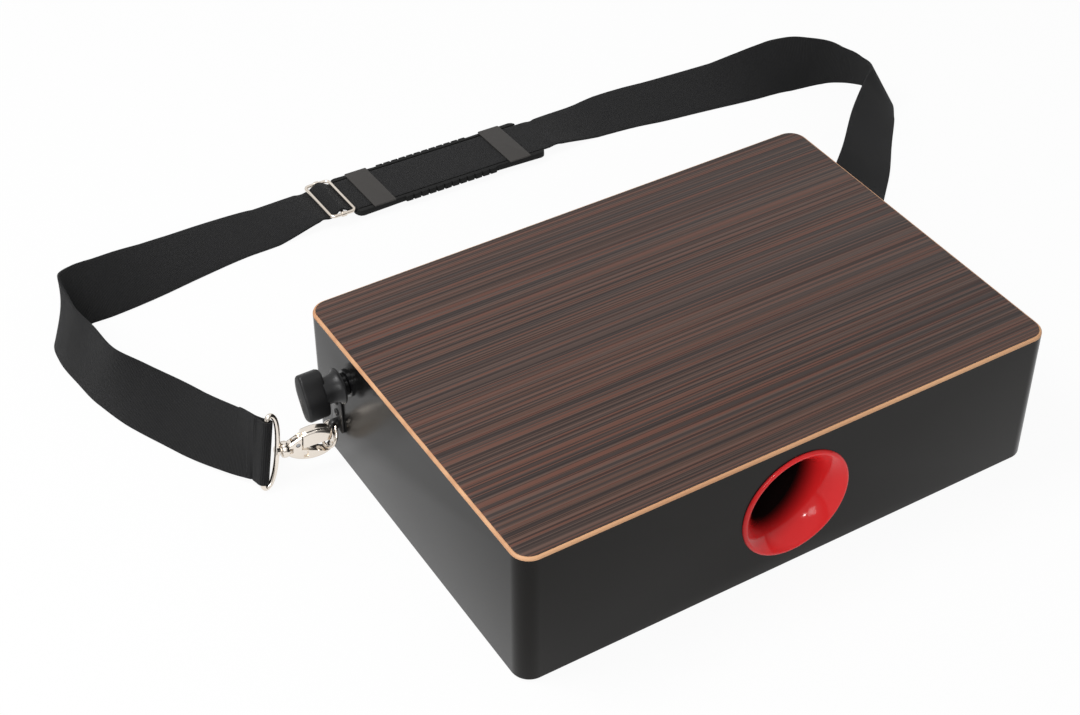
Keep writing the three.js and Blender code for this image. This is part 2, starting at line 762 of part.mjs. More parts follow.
// Snap hook: jaw with its curled nose and swivel head, sprung gate, pin and spring
function makeHook(place) {
  const { name } = place;
  const frame = hookFrame(place);
  const leaf = () => standUp(casting(shareShape(leafShares, hookLength, hookHalfHeight, 48), hookThickness,
    hookEdgeRound));
  const slab = (shares, thickness) => {
    const points = shares.map(([u, v]) => new THREE.Vector2(u * hookLength, v * hookHalfHeight));
    return standUp(casting(new THREE.Shape(points), thickness, 0));
  };
  const mouth = slab(mouthShares, hookThickness + overrun);
  const slotEnd = gatePivotU + gateTongueRadius + 2 * runningGap;
  const slotStart = gatePivotU - gateTongueRadius - runningGap;
  const slot = block(
    [slotStart, -cheekSlotWidth / 2, gatePivotV - gateTongueRadius - runningGap],
    [slotEnd, cheekSlotWidth / 2, hookHalfHeight + overrun],
  );
  const pinHole = rod("y", -hookThickness, hookThickness, gatePinRadius + runningGap, smallSides,
    [gatePivotU, 0, gatePivotV]);
  const headProfile = [
    [studRadius + swivelPlay, 0],
    [swivelHeadRadius * 0.75, 0],
    [swivelHeadRadius, swivelHeadLength * 0.3],
    [swivelHeadRadius, swivelHeadLength * 0.7],
    [swivelHeadRadius * 0.8, swivelHeadLength],
    [studRadius + swivelPlay, swivelHeadLength],
    [studRadius + swivelPlay, 0],
  ];
  const head = turned(headProfile, roundSides).rotateZ(-Math.PI / 2).translate(headBack, 0, 0);
  const pocket = rod("x", pocketStart, slotStart + overrun / 2,
    studHeadRadius + 2 * runningGap, smallSides, [0, 0, 0]);
  const throat = rod("x", -swivelHeadLength, swivelHeadLength, studRadius + swivelPlay, smallSides, [0, 0, 0]);
  const jaw = cut(join(leaf(), head), mouth, slot, pinHole, throat, pocket);
  piece(`${name}_hook_body`, jaw.applyMatrix4(frame), "nickel");

  const upper = common(leaf(), slab(gateShares, hookThickness + overrun));
  const tongue = rod("y", -gateTongueWidth, gateTongueWidth / 2, gateTongueRadius, roundSides,
    [gatePivotU, 0, gatePivotV]);
  tongue.translate(0, (cheekSlotWidth - gateTongueWidth) / 2 - runningGap, 0);
  const tongueFar = (cheekSlotWidth / 2) - runningGap;
  const bridge = block(
    [gatePivotU, tongueFar - gateTongueWidth, gatePivotV - gateTongueRadius * 0.7],
    [gateShares[0][0] * hookLength + overrun, tongueFar, gatePivotV + gateTongueRadius * 0.9],
  );
  const trimmed = common(tongue, block(
    [0, tongueFar - gateTongueWidth, -hookHalfHeight],
    [hookLength, tongueFar, hookHalfHeight],
  ));
  const gate = cut(join(upper, trimmed, bridge), pinHole.clone());
  piece(`${name}_gate`, gate.applyMatrix4(frame), "nickel");

  const pinReach = hookThickness / 2 - runningGap;
  piece(`${name}_gate_pin`, rod("y", -pinReach, pinReach, gatePinRadius, smallSides,
    [gatePivotU, 0, gatePivotV]).applyMatrix4(frame), "steel");
  makeSpring(name, frame);
}

// Coil round the pin, beside the gate's tongue
function makeSpring(name, frame) {
  const coilRadius = gatePinRadius + springWire + 2 * runningGap;
  const near = -cheekSlotWidth / 2 + runningGap + springWire;
  const far = cheekSlotWidth / 2 - gateTongueWidth - 2 * runningGap - springWire;
  class Coil extends THREE.Curve {
    getPoint(t) {
      const angle = t * springTurns * 2 * Math.PI;
      return new THREE.Vector3(
        gatePivotU + coilRadius * Math.cos(angle),
        near + (far - near) * t,
        gatePivotV + coilRadius * Math.sin(angle),
      );
    }
  }
  const section = new THREE.Shape(circlePoints(springWire, 5));
  const coil = new THREE.ExtrudeGeometry(section, { steps: springTurns * 10, extrudePath: new Coil() });
  piece(`${name}_gate_spring`, closed(coil.applyMatrix4(frame)), "steel");
}

function circlePoints(radius, count) {
  const points = [];
  for (let k = 0; k < count; k += 1) {
    const angle = (k / count) * 2 * Math.PI;
    points.push(new THREE.Vector2(radius * Math.cos(angle), radius * Math.sin(angle)));
  }
  return points;
}

// Frame of a webbing loop: origin at its swivel stud, x from the bar to the stud, z along the bar
function loopFrame(place) {
  const { side, loopYaw, loopPitch, loopRoll } = place;
  const away = new THREE.Vector3(
    side * Math.cos(loopYaw * degree) * Math.cos(loopPitch * degree),
    Math.sin(loopYaw * degree) * Math.cos(loopPitch * degree),
    Math.sin(loopPitch * degree),
  );
  const along = away.clone().negate();
  const level = new THREE.Vector3(0, 0, 1).cross(along).normalize().multiplyScalar(-side);
  const upright = along.clone().cross(level).multiplyScalar(-side);
  const bar = level.multiplyScalar(Math.cos(loopRoll * degree));
  bar.addScaledVector(upright, Math.sin(loopRoll * degree));
  const across = bar.clone().cross(along).normalize();
  const centre = new THREE.Vector3((headBack + pocketStart) / 2, 0, 0).applyMatrix4(hookFrame(place));
  return new THREE.Matrix4().makeBasis(along, across, bar).setPosition(centre.addScaledVector(along, -studNeck));
}

// Loop with a straight bar for the webbing, a bowed side and the stud that swivels in the hook
const bowShares = [
  [-1, 0], [-1, 0.475], [-0.94, 0.512], [-0.74, 0.528], [-0.45, 0.48], [-0.22, 0.35], [-0.1, 0.17],
  [-0.08, 0],
];

function makeLoop(place) {
  const points = bowShares.map(([x, z]) => new THREE.Vector3(x * loopDepth, 0, z * loopBarLength));
  const mirrored = bowShares.slice(1, -1).reverse();
  for (const [x, z] of mirrored) points.push(new THREE.Vector3(x * loopDepth, 0, -z * loopBarLength));
  const curve = new THREE.CatmullRomCurve3(points, true, "centripetal");
  const wire = new THREE.TubeGeometry(curve, wireSteps, loopWire, wireSides, true);
  const throatLength = pocketStart - headBack;
  const neckEnd = studNeck + throatLength / 2 + studHeadLength;
  const neck = rod("x", -loopWire, neckEnd, studRadius, smallSides, [0, 0, 0]);
  const bossEnd = studNeck - throatLength / 2 - swivelPlay;
  const boss = rod("x", -loopWire, bossEnd, studHeadRadius * 0.85, smallSides, [0, 0, 0]);
  const loop = join(closed(wire), neck, boss);
  const tip = rod("x", 0, studHeadLength, studHeadRadius, smallSides, [0, 0, 0]);
  const hook = hookFrame(place);
  const intoHook = new THREE.Matrix4().copy(loopFrame(place)).invert().multiply(hook);
  tip.translate(pocketStart + 2 * runningGap, 0, 0).applyMatrix4(intoHook);
  piece(`${place.name}_strap_loop`, join(loop, tip).applyMatrix4(loopFrame(place)), "nickel");
}

// Frame of the shoulder pad and slider: x along the webbing, y across it, z out of the pad's face
function padFrame() {
  const turn = new THREE.Matrix4().makeRotationZ(padYaw * degree);
  turn.multiply(new THREE.Matrix4().makeRotationX(padRoll * degree));
  const rise = floorGap + (padWidth / 2) * Math.sin(-padRoll * degree);
  return turn.setPosition(padCentreX, padCentreY, rise);
}

const webbingLevel = padFloor + seatGap + webbingThickness / 2;
const barLevel = webbingLevel + webbingThickness / 2 + seatGap + sliderWire;

// Moulded pad: scalloped grip edges, a channel for the webbing and two bridges over it
function makePad() {
  const outline = [];
  const half = padLength / 2;
  const first = padToothCentre - padToothCount * padToothPitch / 2;
  const edge = [];
  for (let tooth = 0; tooth < padToothCount; tooth += 1) {
    const steps = 4;
    for (let step = 0; step < steps; step += 1) {
      const share = step / steps;
      const dip = padToothDepth * Math.abs(Math.cos(Math.PI * share)) ** 2;
      edge.push([first + (tooth + share) * padToothPitch, padWidth / 2 - dip]);
    }
  }
  edge.push([first + padToothCount * padToothPitch, padWidth / 2 - padToothDepth]);
  const shoulder = padToothDepth * 0.5;
  const ends = [
    [-half + padCorner * 1.6, padWidth / 2 - shoulder],
    [-half + padCorner * 0.5, padWidth / 2 - padCorner * 0.4],
    [-half, padWidth / 2 - padCorner * 1.4],
  ];
  const upper = [...ends.map(([x, y]) => [x, y]).reverse(), ...edge, ...ends.map(([x, y]) => [-x, y])];
  for (const [x, y] of upper) outline.push(new THREE.Vector2(x, y));
  for (const [x, y] of upper.slice().reverse()) outline.push(new THREE.Vector2(x, -y));
  const slab = casting(new THREE.Shape(outline), padThickness, padEdgeRound, 1).translate(0, 0, padThickness / 2);
  const channel = block(
    [-half - overrun, -padChannelWidth / 2, padFloor],
    [half + overrun, padChannelWidth / 2, padThickness + overrun],
  );
  let pad = cut(slab, channel);
  const bridgeLow = padFloor + bridgeRise;
  for (const place of bridgePlaces) {
    const bridgeOutline = new THREE.Shape(roundedOutline(bridgeLength, padChannelWidth + padCorner,
      bridgeThickness, 2));
    const bridge = casting(bridgeOutline, bridgeThickness, bridgeThickness * 0.3, 1);
    pad = join(pad, bridge.translate(place, 0, bridgeLow + bridgeThickness / 2));
  }
  piece("shoulder_pad", pad.applyMatrix4(padFrame()), "pad");
}

// Three-bar slider: a wire frame and the bar that the webbing passes over
function makeSlider() {
  const outline = roundedOutline(sliderLength - 2 * sliderWire, sliderWidth - 2 * sliderWire, sliderCorner, 3);
  const points = [];
  outline.forEach((point, k) => {
    const next = outline[(k + 1) % outline.length];
    points.push(new THREE.Vector3(point.x, point.y, 0));
    const far = point.distanceTo(next) > sliderCorner * 2;
    if (far) points.push(new THREE.Vector3((point.x + next.x) / 2, (point.y + next.y) / 2, 0));
  });
  const curve = new THREE.CatmullRomCurve3(points, true, "centripetal");
  const wire = closed(new THREE.TubeGeometry(curve, wireSteps, sliderWire, wireSides, true));
  piece("slider_frame", wire.translate(sliderU, 0, barLevel).applyMatrix4(padFrame()), "nickel");
  const reach = sliderWidth / 2 - 2 * sliderWire - seatGap;
  const bar = rod("y", -reach, reach, sliderWire, wireSides, [sliderU, 0, barLevel]);
  piece("slider_bar", bar.applyMatrix4(padFrame()), "nickel");
}

// Where the webbing's lower and upper edges run between its left loop and the slider: the lower edge
// on the floor, the upper edge free. The band is stiff enough to stand where it bends.
const leftRun = [
  [[-301, 137.2, 3.7], [-279.4, 148.8, 47.3]],
  [[-315.5, 164, 1.4], [-288, 177, 41]],
  [[-330, 196, 0], [-300, 210, 37]],
  [[-343, 227, 0], [-316, 237, 40]],
  [[-352, 260, 0], [-333, 264, 45]],
  [[-357, 294, 0], [-336, 298, 45]],
  [[-359, 322, 0], [-340, 327, 46]],
  [[-356, 341, 0], [-337, 352, 44]],
  [[-344, 353, 0], [-330, 370, 44]],
  [[-322, 355, 0], [-316, 382, 41]],
  [[-300, 355, 0], [-300, 391, 35]],
  [[-278, 357, 0], [-282, 396, 31]],
  [[-250, 361, 0], [-256, 404, 22]],
  [[-221, 365, 0], [-227, 412, 16]],
  [[-178, 371, 0], [-180, 419, 9]],
  [[-150, 371.5, 0.5], [-150, 420, 7]],
];

const rightRun = [
  [[164, 368, 2], [168, 418, 4]],
  [[190, 366, 0], [196, 415, 8]],
  [[214, 363, 0], [221, 411, 10]],
  [[237, 358, 0], [245, 406, 12]],
  [[273, 353, 0], [280, 400, 14]],
  [[304, 348, 0], [311, 394, 17]],
  [[330, 344, 0], [337, 386, 25]],
  [[352, 341, 0], [357, 379, 32]],
  [[370, 338, 0], [373, 361, 44]],
  [[384, 337, 0], [385, 343, 49]],
  [[399, 334, 0], [398, 328, 49]],
  [[411, 330, 0], [405, 315, 47]],
  [[423, 321, 0], [410, 305, 46]],
  [[433, 307, 0], [412, 296, 44]],
  [[437, 290, 0], [413, 287, 43]],
  [[433, 272, 0], [409, 277, 42]],
  [[420, 253, 0], [394, 268, 38]],
  [[390, 219, 0], [361, 244, 32]],
  [[360, 185, 0], [328, 213, 25]],
  [[333, 158, 2], [299, 190, 20]],
];

// How far round the bar the fold opens, as a share of half a turn
const foldOpenShare = 0.36;

// After how many places each run is cut into two stretches
const leftSplit = 8;
const rightSplit = 9;

// One place on the webbing: the middle of the band and the way that its width points
function station(middle, across) {
  return { middle, across: across.clone().normalize() };
}

function fromEdges([low, high]) {
  const lower = new THREE.Vector3(...low);
  const upper = new THREE.Vector3(...high);
  return station(lower.clone().add(upper).multiplyScalar(0.5), upper.clone().sub(lower));
}

function inPad(x, level) {
  const frame = padFrame();
  const middle = new THREE.Vector3(x, 0, level).applyMatrix4(frame);
  return station(middle, new THREE.Vector3(0, 1, 0).transformDirection(frame));
}

// Where the band goes round the loop's bar, from its lower layer, which the tail continues, to the upper
function foldStations(place, run) {
  const frame = loopFrame(place);
  const back = new THREE.Matrix4().copy(frame).invert();
  const target = run[0].middle.clone().applyMatrix4(back);
  const bar = new THREE.Vector3(-loopDepth, 0, 0);
  const out = new THREE.Vector3(target.x - bar.x, target.y, 0).normalize();
  const across = new THREE.Vector3(0, 0, 1).transformDirection(frame);
  if (across.dot(run[0].across) < 0) across.negate();
  const down = new THREE.Vector3(-out.y, out.x, 0);
  if (down.clone().transformDirection(frame).z > 0) down.negate();
  const turn = loopWire + 2 * seatGap + webbingThickness / 2;
  const layer = (webbingThickness + seatGap) / 2;
  const at = (along, offset) => {
    const point = bar.clone().addScaledVector(out, along).addScaledVector(down, offset);
    return station(point.applyMatrix4(frame), across);
  };
  const list = [at(turn * 2.4, layer * 1.3)];
  const steps = 8;
  for (let step = 0; step <= steps; step += 1) {
    const angle = Math.PI * (foldOpenShare + 2 * (1 - foldOpenShare) * (step / steps));
    list.push(at(turn * Math.cos(angle), turn * Math.sin(angle)));
  }
  return [...list, at(turn * 2.4, -layer * 1.3), at(turn * 3.6, -layer)];
}

// The band's cross-sections along one smooth curve through all the stations
function sweep(stations) {
  const middles = new THREE.CatmullRomCurve3(stations.map((s) => s.middle), false, "centripetal");
  const widths = new THREE.CatmullRomCurve3(stations.map((s) => s.across), false, "centripetal");
  const count = stations.length - 1;
  const half = webbingWidth / 2;
  const thick = webbingThickness / 2;
  return (place) => {
    const t = Math.min(place / count, 1);
    const middle = middles.getPoint(t);
    const ahead = middles.getTangent(t);
    const across = widths.getPoint(t);
    across.addScaledVector(ahead, -across.dot(ahead)).normalize();
    const face = ahead.clone().cross(across).normalize();
    const ring = [[-1, -1], [1, -1], [1, 1], [-1, 1]].map(([w, f]) => middle.clone()
      .addScaledVector(across, w * half).addScaledVector(face, f * thick));
    const lowest = Math.min(...ring.map((point) => point.z));
    if (lowest < floorGap) ring.forEach((point) => point.setZ(point.z + floorGap - lowest));
    return ring;
  };
}

// Where the band has its cross-sections between two stations, closer together where it twists
function ringPlaces(stations, from, to) {
  const places = [];
  for (let k = from; k < to; k += 1) {
    const span = stations[k].middle.distanceTo(stations[k + 1].middle);
    const twist = stations[k].across.angleTo(stations[k + 1].across);
    const steps = Math.max(1, Math.round(span / bandStep), Math.round(twist / bandTwist));
    for (let step = 0; step < steps; step += 1) {
      const drawnBack = k === from && step === 0 && k > 0 ? seatGap / span : 0;
      places.push(k + step / steps + drawnBack);
    }
  }
  return [...places, to];
}

// One stretch of the band, with a tail before it or after it. Its broad faces are split along the same
// diagonal, in the tail as in the band beside it, so that it is as thick everywhere where it twists.
function stretch(rings, before = [], after = []) {
  const first = before.length;
  const last = first + rings.length - 1;
  const broadFaces = [0, 2];
  return closed(loft([...before, ...rings, ...after], (ring, side) => {
    const inTail = ring < first || ring >= last;
    return side === broadFaces[inTail ? 0 : 1];
  }));
}

// The tail's cross-sections, each one layer below the band's own one there
function tailRings(places, section, stations, from) {
  const rings = [];
  let walked = 0;
  let last = stations[from].middle;
  for (const place of places) {
    const ring = section(place);
    const middle = ring[0].clone().add(ring[2]).multiplyScalar(0.5);
    walked += middle.distanceTo(last);
    last = middle;
    if (walked > foldLength) break;
    const normal = ring[3].clone().sub(ring[0]).normalize();
    if (normal.z > 0) normal.negate();
    normal.multiplyScalar(webbingThickness + seatGap);
    rings.push([3, 2, 1, 0].map((corner) => ring[corner].clone().add(normal)));
  }
  return rings;
}

// How high the webbing runs in the slider: under the outer bars and over the middle one
function sliderStations() {
  const wave = sliderWire + seatGap + webbingThickness / 2;
  const pitch = sliderLength / 2 - sliderWire;
  const list = [inPad(sliderU - pitch * 2, webbingLevel)];
  const steps = 8;
  for (let step = 0; step <= steps; step += 1) {
    const share = 2 * (step / steps) - 1;
    list.push(inPad(sliderU + pitch * share, webbingLevel + wave * (1 + Math.cos(Math.PI * share))));
  }
  return list;
}

function makeWebbing() {
  const padEnd = padLength / 2;
  const slider = sliderStations();
  const onPad = [-0.9, -0.5, 0, 0.5, 0.95, 1.06].map((share) => inPad(padEnd * share, webbingLevel));
  const beyond = inPad(padEnd + padCorner + padCorner, webbingLevel);
  const left = leftRun.map(fromEdges);
  const right = rightRun.map(fromEdges);
  const leftFold = foldStations(sides[0], left);
  const rightFold = foldStations(sides[1], right.slice().reverse()).reverse();
  const stations = [...leftFold, ...left, ...slider, ...onPad, beyond, ...right, ...rightFold];
  const section = sweep(stations);
  const padStart = leftFold.length + left.length;
  const padStop = padStart + slider.length + onPad.length;
  const cuts = [0, leftFold.length + leftSplit, padStart, padStop, padStop + 1 + rightSplit, stations.length - 1];
  const names = ["strap_left", "strap_back_left", "strap_through_pad", "strap_back_right", "strap_right"];
  const leftExit = leftFold.length - 1;
  const rightExit = stations.length - rightFold.length;
  names.forEach((name, k) => {
    const places = ringPlaces(stations, cuts[k], cuts[k + 1]);
    const out = places.filter((place) => place >= leftExit);
    const home = places.filter((place) => place <= rightExit).reverse();
    const before = k === 0 ? tailRings(out, section, stations, leftExit).reverse() : [];
    const after = k === names.length - 1 ? tailRings(home, section, stations, rightExit) : [];
    piece(name, stretch(places.map(section), before, after), "webbing");
  });
}

makeWalls();
makeTapa();
makeBottom();
makePort();
const hubEnd = makeKnob();
makeSnareShaft(hubEnd);
makeSnares();
for (const place of sides) {
  makeEye(place);
  makeHook(place);
  makeLoop(place);
}
makePad();
makeSlider();
makeWebbing();

export default group;
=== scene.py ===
# %% [markdown]
# # Dressing a lap cajon
# A lap cajon is a flat wooden drum that is played on the knees. The frame that is loaded here already
# holds every piece at its real size and place. This lesson gives each visible piece its final shape and
# its finish: satin black walls, a striped veneer face, a glossy red port, nickel hooks and black webbing.

# %% Load the frame
import json
import math
import bmesh
import bpy
from mathutils import Matrix, Vector


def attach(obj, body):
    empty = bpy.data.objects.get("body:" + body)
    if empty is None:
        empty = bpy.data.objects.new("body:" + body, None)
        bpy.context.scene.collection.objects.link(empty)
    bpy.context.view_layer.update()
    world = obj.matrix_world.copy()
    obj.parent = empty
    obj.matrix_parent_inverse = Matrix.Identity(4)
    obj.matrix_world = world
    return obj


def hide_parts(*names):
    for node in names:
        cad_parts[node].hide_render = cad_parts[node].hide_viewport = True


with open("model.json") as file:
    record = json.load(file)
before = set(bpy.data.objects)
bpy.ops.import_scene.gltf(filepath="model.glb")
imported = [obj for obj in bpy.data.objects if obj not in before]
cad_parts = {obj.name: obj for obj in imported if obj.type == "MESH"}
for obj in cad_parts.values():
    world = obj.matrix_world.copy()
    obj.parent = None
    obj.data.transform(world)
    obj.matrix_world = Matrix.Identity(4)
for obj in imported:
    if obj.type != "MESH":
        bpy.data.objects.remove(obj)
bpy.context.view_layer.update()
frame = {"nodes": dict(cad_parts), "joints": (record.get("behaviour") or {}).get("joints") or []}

# %% [markdown]
# Sizes are written in millimetres and turned into metres once, because Blender works in metres.
# The names below are the ones that a maker would use for the box, its panel and its fittings.

# %% Sizes that several pieces share
MM = 0.001
box_length, box_depth, box_height = 440 * MM, 303 * MM, 116.5 * MM
corner_radius, wall_thickness, lower_edge_round = 14 * MM, 12 * MM, 1.5 * MM
base_z = 1.5 * MM
top_z = base_z + box_height
tapa_thickness, veneer_thickness, veneer_inset = 2.8 * MM, 0.6 * MM, 2.1 * MM
tapa_under_z = top_z - tapa_thickness
veneer_z = top_z - veneer_thickness
wall_x, wall_y = box_length / 2, box_depth / 2
running_gap, seat_gap, overrun = 0.3 * MM, 0.3 * MM, 2 * MM
degree = math.pi / 180
print("playing face at", round(top_z / MM, 1), "mm")

# %% [markdown]
# ## Helpers for working by hand
# Blender's operators act on whatever is selected, and the frame leaves its pieces selected. So each step
# first selects one object, and in edit mode the wanted edges or faces are picked by a test.

# %% Selecting
def only(piece):
    bpy.ops.object.select_all(action="DESELECT")
    piece.select_set(True)
    bpy.context.view_layer.objects.active = piece


def pick(piece, kind, test):
    """Selects the vertices, edges or faces that pass a test. The piece is in edit mode."""
    kinds = ("VERT", "EDGE", "FACE")
    bpy.context.tool_settings.mesh_select_mode = tuple(kind == each for each in kinds)
    bpy.ops.mesh.select_all(action="DESELECT")
    mesh = bmesh.from_edit_mesh(piece.data)
    for part in (mesh.verts, mesh.edges, mesh.faces)[kinds.index(kind)]:
        if test(part):
            part.select_set(True)
    mesh.select_flush_mode()
    bmesh.update_edit_mesh(piece.data)


def edit(piece):
    only(piece)
    bpy.ops.object.mode_set(mode="EDIT")


def leave():
    bpy.ops.object.mode_set(mode="OBJECT")


def fresh(add, **settings):
    """Adds one primitive while nothing else is selected, and returns it."""
    bpy.ops.object.select_all(action="DESELECT")
    add(**settings)
    return bpy.context.object


def face_outward():
    bpy.ops.mesh.select_all(action="SELECT")
    bpy.ops.mesh.normals_make_consistent(inside=False)


def set_down(piece, matrix):
    """Moves a piece to its place and writes that place into its mesh."""
    piece.matrix_world = matrix
    only(piece)
    bpy.ops.object.transform_apply(location=True, rotation=True, scale=True)
    return piece

# %% [markdown]
# Three ways of making a solid cover nearly every hard piece here: an outline that is pulled to a
# thickness, a profile that is spun round an axis as on a lathe, and a block with rounded corners.

# %% Solids from an outline, a profile and a block
def outline_solid(points, low, high, round_edge=0, segments=3):
    """Fills an outline drawn in x and y, and pulls it from one height to another."""
    piece = fresh(bpy.ops.mesh.primitive_circle_add, vertices=len(points), radius=box_height,
                  fill_type="NGON")
    for vertex, (x, y) in zip(piece.data.vertices, points):
        vertex.co = (x, y, low)
    edit(piece)
    bpy.ops.mesh.select_all(action="SELECT")
    bpy.ops.mesh.extrude_region_move(TRANSFORM_OT_translate={"value": (0, 0, high - low)})
    face_outward()
    if round_edge:
        pick(piece, "EDGE", lambda edge: abs(edge.verts[0].co.z - edge.verts[1].co.z) < MM * 0.01)
        bpy.ops.mesh.bevel(offset=round_edge, segments=segments, profile=0.5, clamp_overlap=True)
    leave()
    return piece


def turned_solid(profile, steps, ring=False):
    """Spins a profile of (radius, place) pairs round the z axis. A ring's profile closes on itself."""
    piece = fresh(bpy.ops.mesh.primitive_circle_add, vertices=len(profile), radius=box_height,
                  fill_type="NOTHING")
    for vertex, (radius, place) in zip(piece.data.vertices, profile):
        vertex.co = (radius, 0, place)
    last = len(profile) - 1
    edit(piece)
    if not ring:
        pick(piece, "EDGE", lambda edge: {edge.verts[0].index, edge.verts[1].index} == {0, last})
        bpy.ops.mesh.delete(type="EDGE")
    bpy.ops.mesh.select_all(action="SELECT")
    bpy.ops.mesh.spin(steps=steps, angle=2 * math.pi, center=(0, 0, 0), axis=(0, 0, 1))
    bpy.ops.mesh.select_all(action="SELECT")
    bpy.ops.mesh.remove_doubles(threshold=MM * 0.001)
    face_outward()
    leave()
    return piece


def rounded_block(width, depth, low, high, corner, segments=14):
    """A block that stands between two heights, with its four upright edges rounded."""
    piece = fresh(bpy.ops.mesh.primitive_cube_add, size=1, location=(0, 0, (low + high) / 2),
                  scale=(width, depth, high - low))
    bpy.ops.object.transform_apply(location=True, rotation=True, scale=True)
    edit(piece)
    pick(piece, "EDGE", lambda edge: abs(edge.verts[0].co.z - edge.verts[1].co.z) > (high - low) / 2)
    bpy.ops.mesh.bevel(offset=corner, segments=segments, profile=0.5)
    leave()
    return piece

# %% [markdown]
# Real fittings are joined and bored, and their sharp edges are taken off. A Boolean with the exact solver
# joins or cuts two solids, and a Bevel that is limited by angle rounds the sharp edges alone. A finished
# piece is then hung on its body, so that it moves with the frame's joints.

# %% Combining and finishing
def combine(piece, tool, operation):
    """Joins a second solid to a piece, or takes it away, and removes the second one."""
    carve = piece.modifiers.new("carve", "BOOLEAN")
    carve.operation = operation
    carve.solver = "EXACT"
    carve.object = tool
    only(piece)
    bpy.ops.object.modifier_apply(modifier=carve.name)
    bpy.data.objects.remove(tool, do_unlink=True)
    return piece


def soften(piece, width, segments=2, angle=35):
    """Rounds every edge that is sharper than an angle."""
    bevel = piece.modifiers.new("soften", "BEVEL")
    bevel.width = width
    bevel.segments = segments
    bevel.limit_method = "ANGLE"
    bevel.angle_limit = angle * degree
    only(piece)
    bpy.ops.object.modifier_apply(modifier=bevel.name)
    return piece


def hang(piece, name, body, nodes, material, smooth=38):
    """Names a finished piece, gives it its finish, and lets it ride on its body in place of CAD nodes."""
    piece.name = name
    piece.data.name = name
    piece.data.materials.clear()
    piece.data.materials.append(material)
    only(piece)
    bpy.ops.object.transform_apply(location=True, rotation=True, scale=True)
    bpy.ops.object.shade_smooth_by_angle(angle=smooth * degree)
    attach(piece, body)
    if nodes:
        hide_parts(*nodes)
    print(name, len(piece.data.polygons), "faces, on", body)
    return piece


def along_x():
    """Turns a spun solid so that its places run along +X."""
    return Matrix.Rotation(90 * degree, 4, "Y")


def along_y():
    """Turns a spun solid so that its places run along +Y."""
    return Matrix.Rotation(-90 * degree, 4, "X")


def rod(from_place, to_place, radius, sides=32):
    profile = [(0, from_place), (radius, from_place), (radius, to_place), (0, to_place)]
    return turned_solid(profile, sides)

# %% [markdown]
# ## Smooth lines
# The hooks, loops and webbing follow smooth lines through a few places. The centripetal spline used
# here passes through every place without looping back on itself where the places lie close together.

# %% A smooth line through places
def smooth_line(places, closed=False):
    """Returns a function that gives the point at a place number, whole or between two."""
    points = [Vector(place) for place in places]
    count = len(points)

    def point_at(number):
        if closed:
            return points[number % count]
        if number < 0:
            return 2 * points[0] - points[1]
        if number >= count:
            return 2 * points[-1] - points[-2]
        return points[number]

    def at(place):
        last = count if closed else count - 1
        start = min(int(place), last - 1)
        share = place - start
        a, b, c, d = (point_at(start + step) for step in (-1, 0, 1, 2))
        middle = (c - b).length ** 0.5 or 1
        before = (b - a).length ** 0.5 or middle
        after = (d - c).length ** 0.5 or middle
        leave_b = ((b - a) / before - (c - a) / (before + middle) + (c - b) / middle) * middle
        reach_c = ((c - b) / middle - (d - b) / (middle + after) + (d - c) / after) * middle
        square, cube = share ** 2, share ** 3
        return ((2 * cube - 3 * square + 1) * b + (cube - 2 * square + share) * leave_b
                + (3 * square - 2 * cube) * c + (cube - square) * reach_c)

    return at


def closed_outline(shares, length, height, divisions):
    line = smooth_line([(u * length, v * height, 0) for u, v in shares], closed=True)
    points = [line(len(shares) * step / divisions) for step in range(divisions)]
    return [(point.x, point.y) for point in points]


def rounded_rectangle(half_width, half_height, corner):
    """Points round a rectangle whose corners are quarter circles."""
    points = []
    for sx, sy, quarter in ((1, 1, 0), (-1, 1, 1), (-1, -1, 2), (1, -1, 3)):
        for k in range(9):
            angle = (quarter + k / 8) * math.pi / 2
            points.append((sx * (half_width - corner) + corner * math.cos(angle),
                           sy * (half_height - corner) + corner * math.sin(angle)))
    return points


def wire(points, radius, sides=12):
    """A closed round wire through points, made a mesh."""
    curve = bpy.data.curves.new("wire", "CURVE")
    curve.dimensions = "3D"
    curve.bevel_depth = radius
    curve.bevel_resolution = sides // 2 - 2
    curve.use_fill_caps = True
    spline = curve.splines.new("POLY")
    spline.points.add(len(points) - 1)
    for knot, point in zip(spline.points, points):
        knot.co = (*point, 1)
    spline.use_cyclic_u = True
    piece = bpy.data.objects.new("wire", curve)
    bpy.context.scene.collection.objects.link(piece)
    only(piece)
    bpy.ops.object.convert(target="MESH")
    return bpy.context.object

# %% [markdown]
# ## Finishes
# A finish is a Principled shader whose colour, roughness and bump come from small node groups. Each group
# is built once, with named inputs, and each material places it with its own values. All patterns read
# Object coordinates, so they stay fixed on the piece from every side.

# %% Building a node group
def new_group(name, inputs, outputs):
    group = bpy.data.node_groups.new(name, "ShaderNodeTree")
    for title, kind, value in inputs:
        socket = group.interface.new_socket(title, in_out="INPUT", socket_type="NodeSocket" + kind)
        if value is not None:
            socket.default_value = value
    for title, kind in outputs:
        group.interface.new_socket(title, in_out="OUTPUT", socket_type="NodeSocket" + kind)
    print("node group", name)
    return group, group.nodes.new("NodeGroupInput"), group.nodes.new("NodeGroupOutput")


def node(tree, kind, links=None, **settings):
    """Adds a node, sets its values, and links its inputs to the sockets that are given."""
    made = tree.nodes.new("ShaderNode" + kind)
    for key, value in settings.items():
        setattr(made, key, value)
    for key, source in (links or {}).items():
        if isinstance(source, bpy.types.NodeSocket):
            tree.links.new(source, made.inputs[key])
        else:
            made.inputs[key].default_value = source
    return made

# %% [markdown]
# Paint, plastic and metal are never perfectly even. This group adds a slow variation for the roughness
# and colour, and a fine one for the bump.

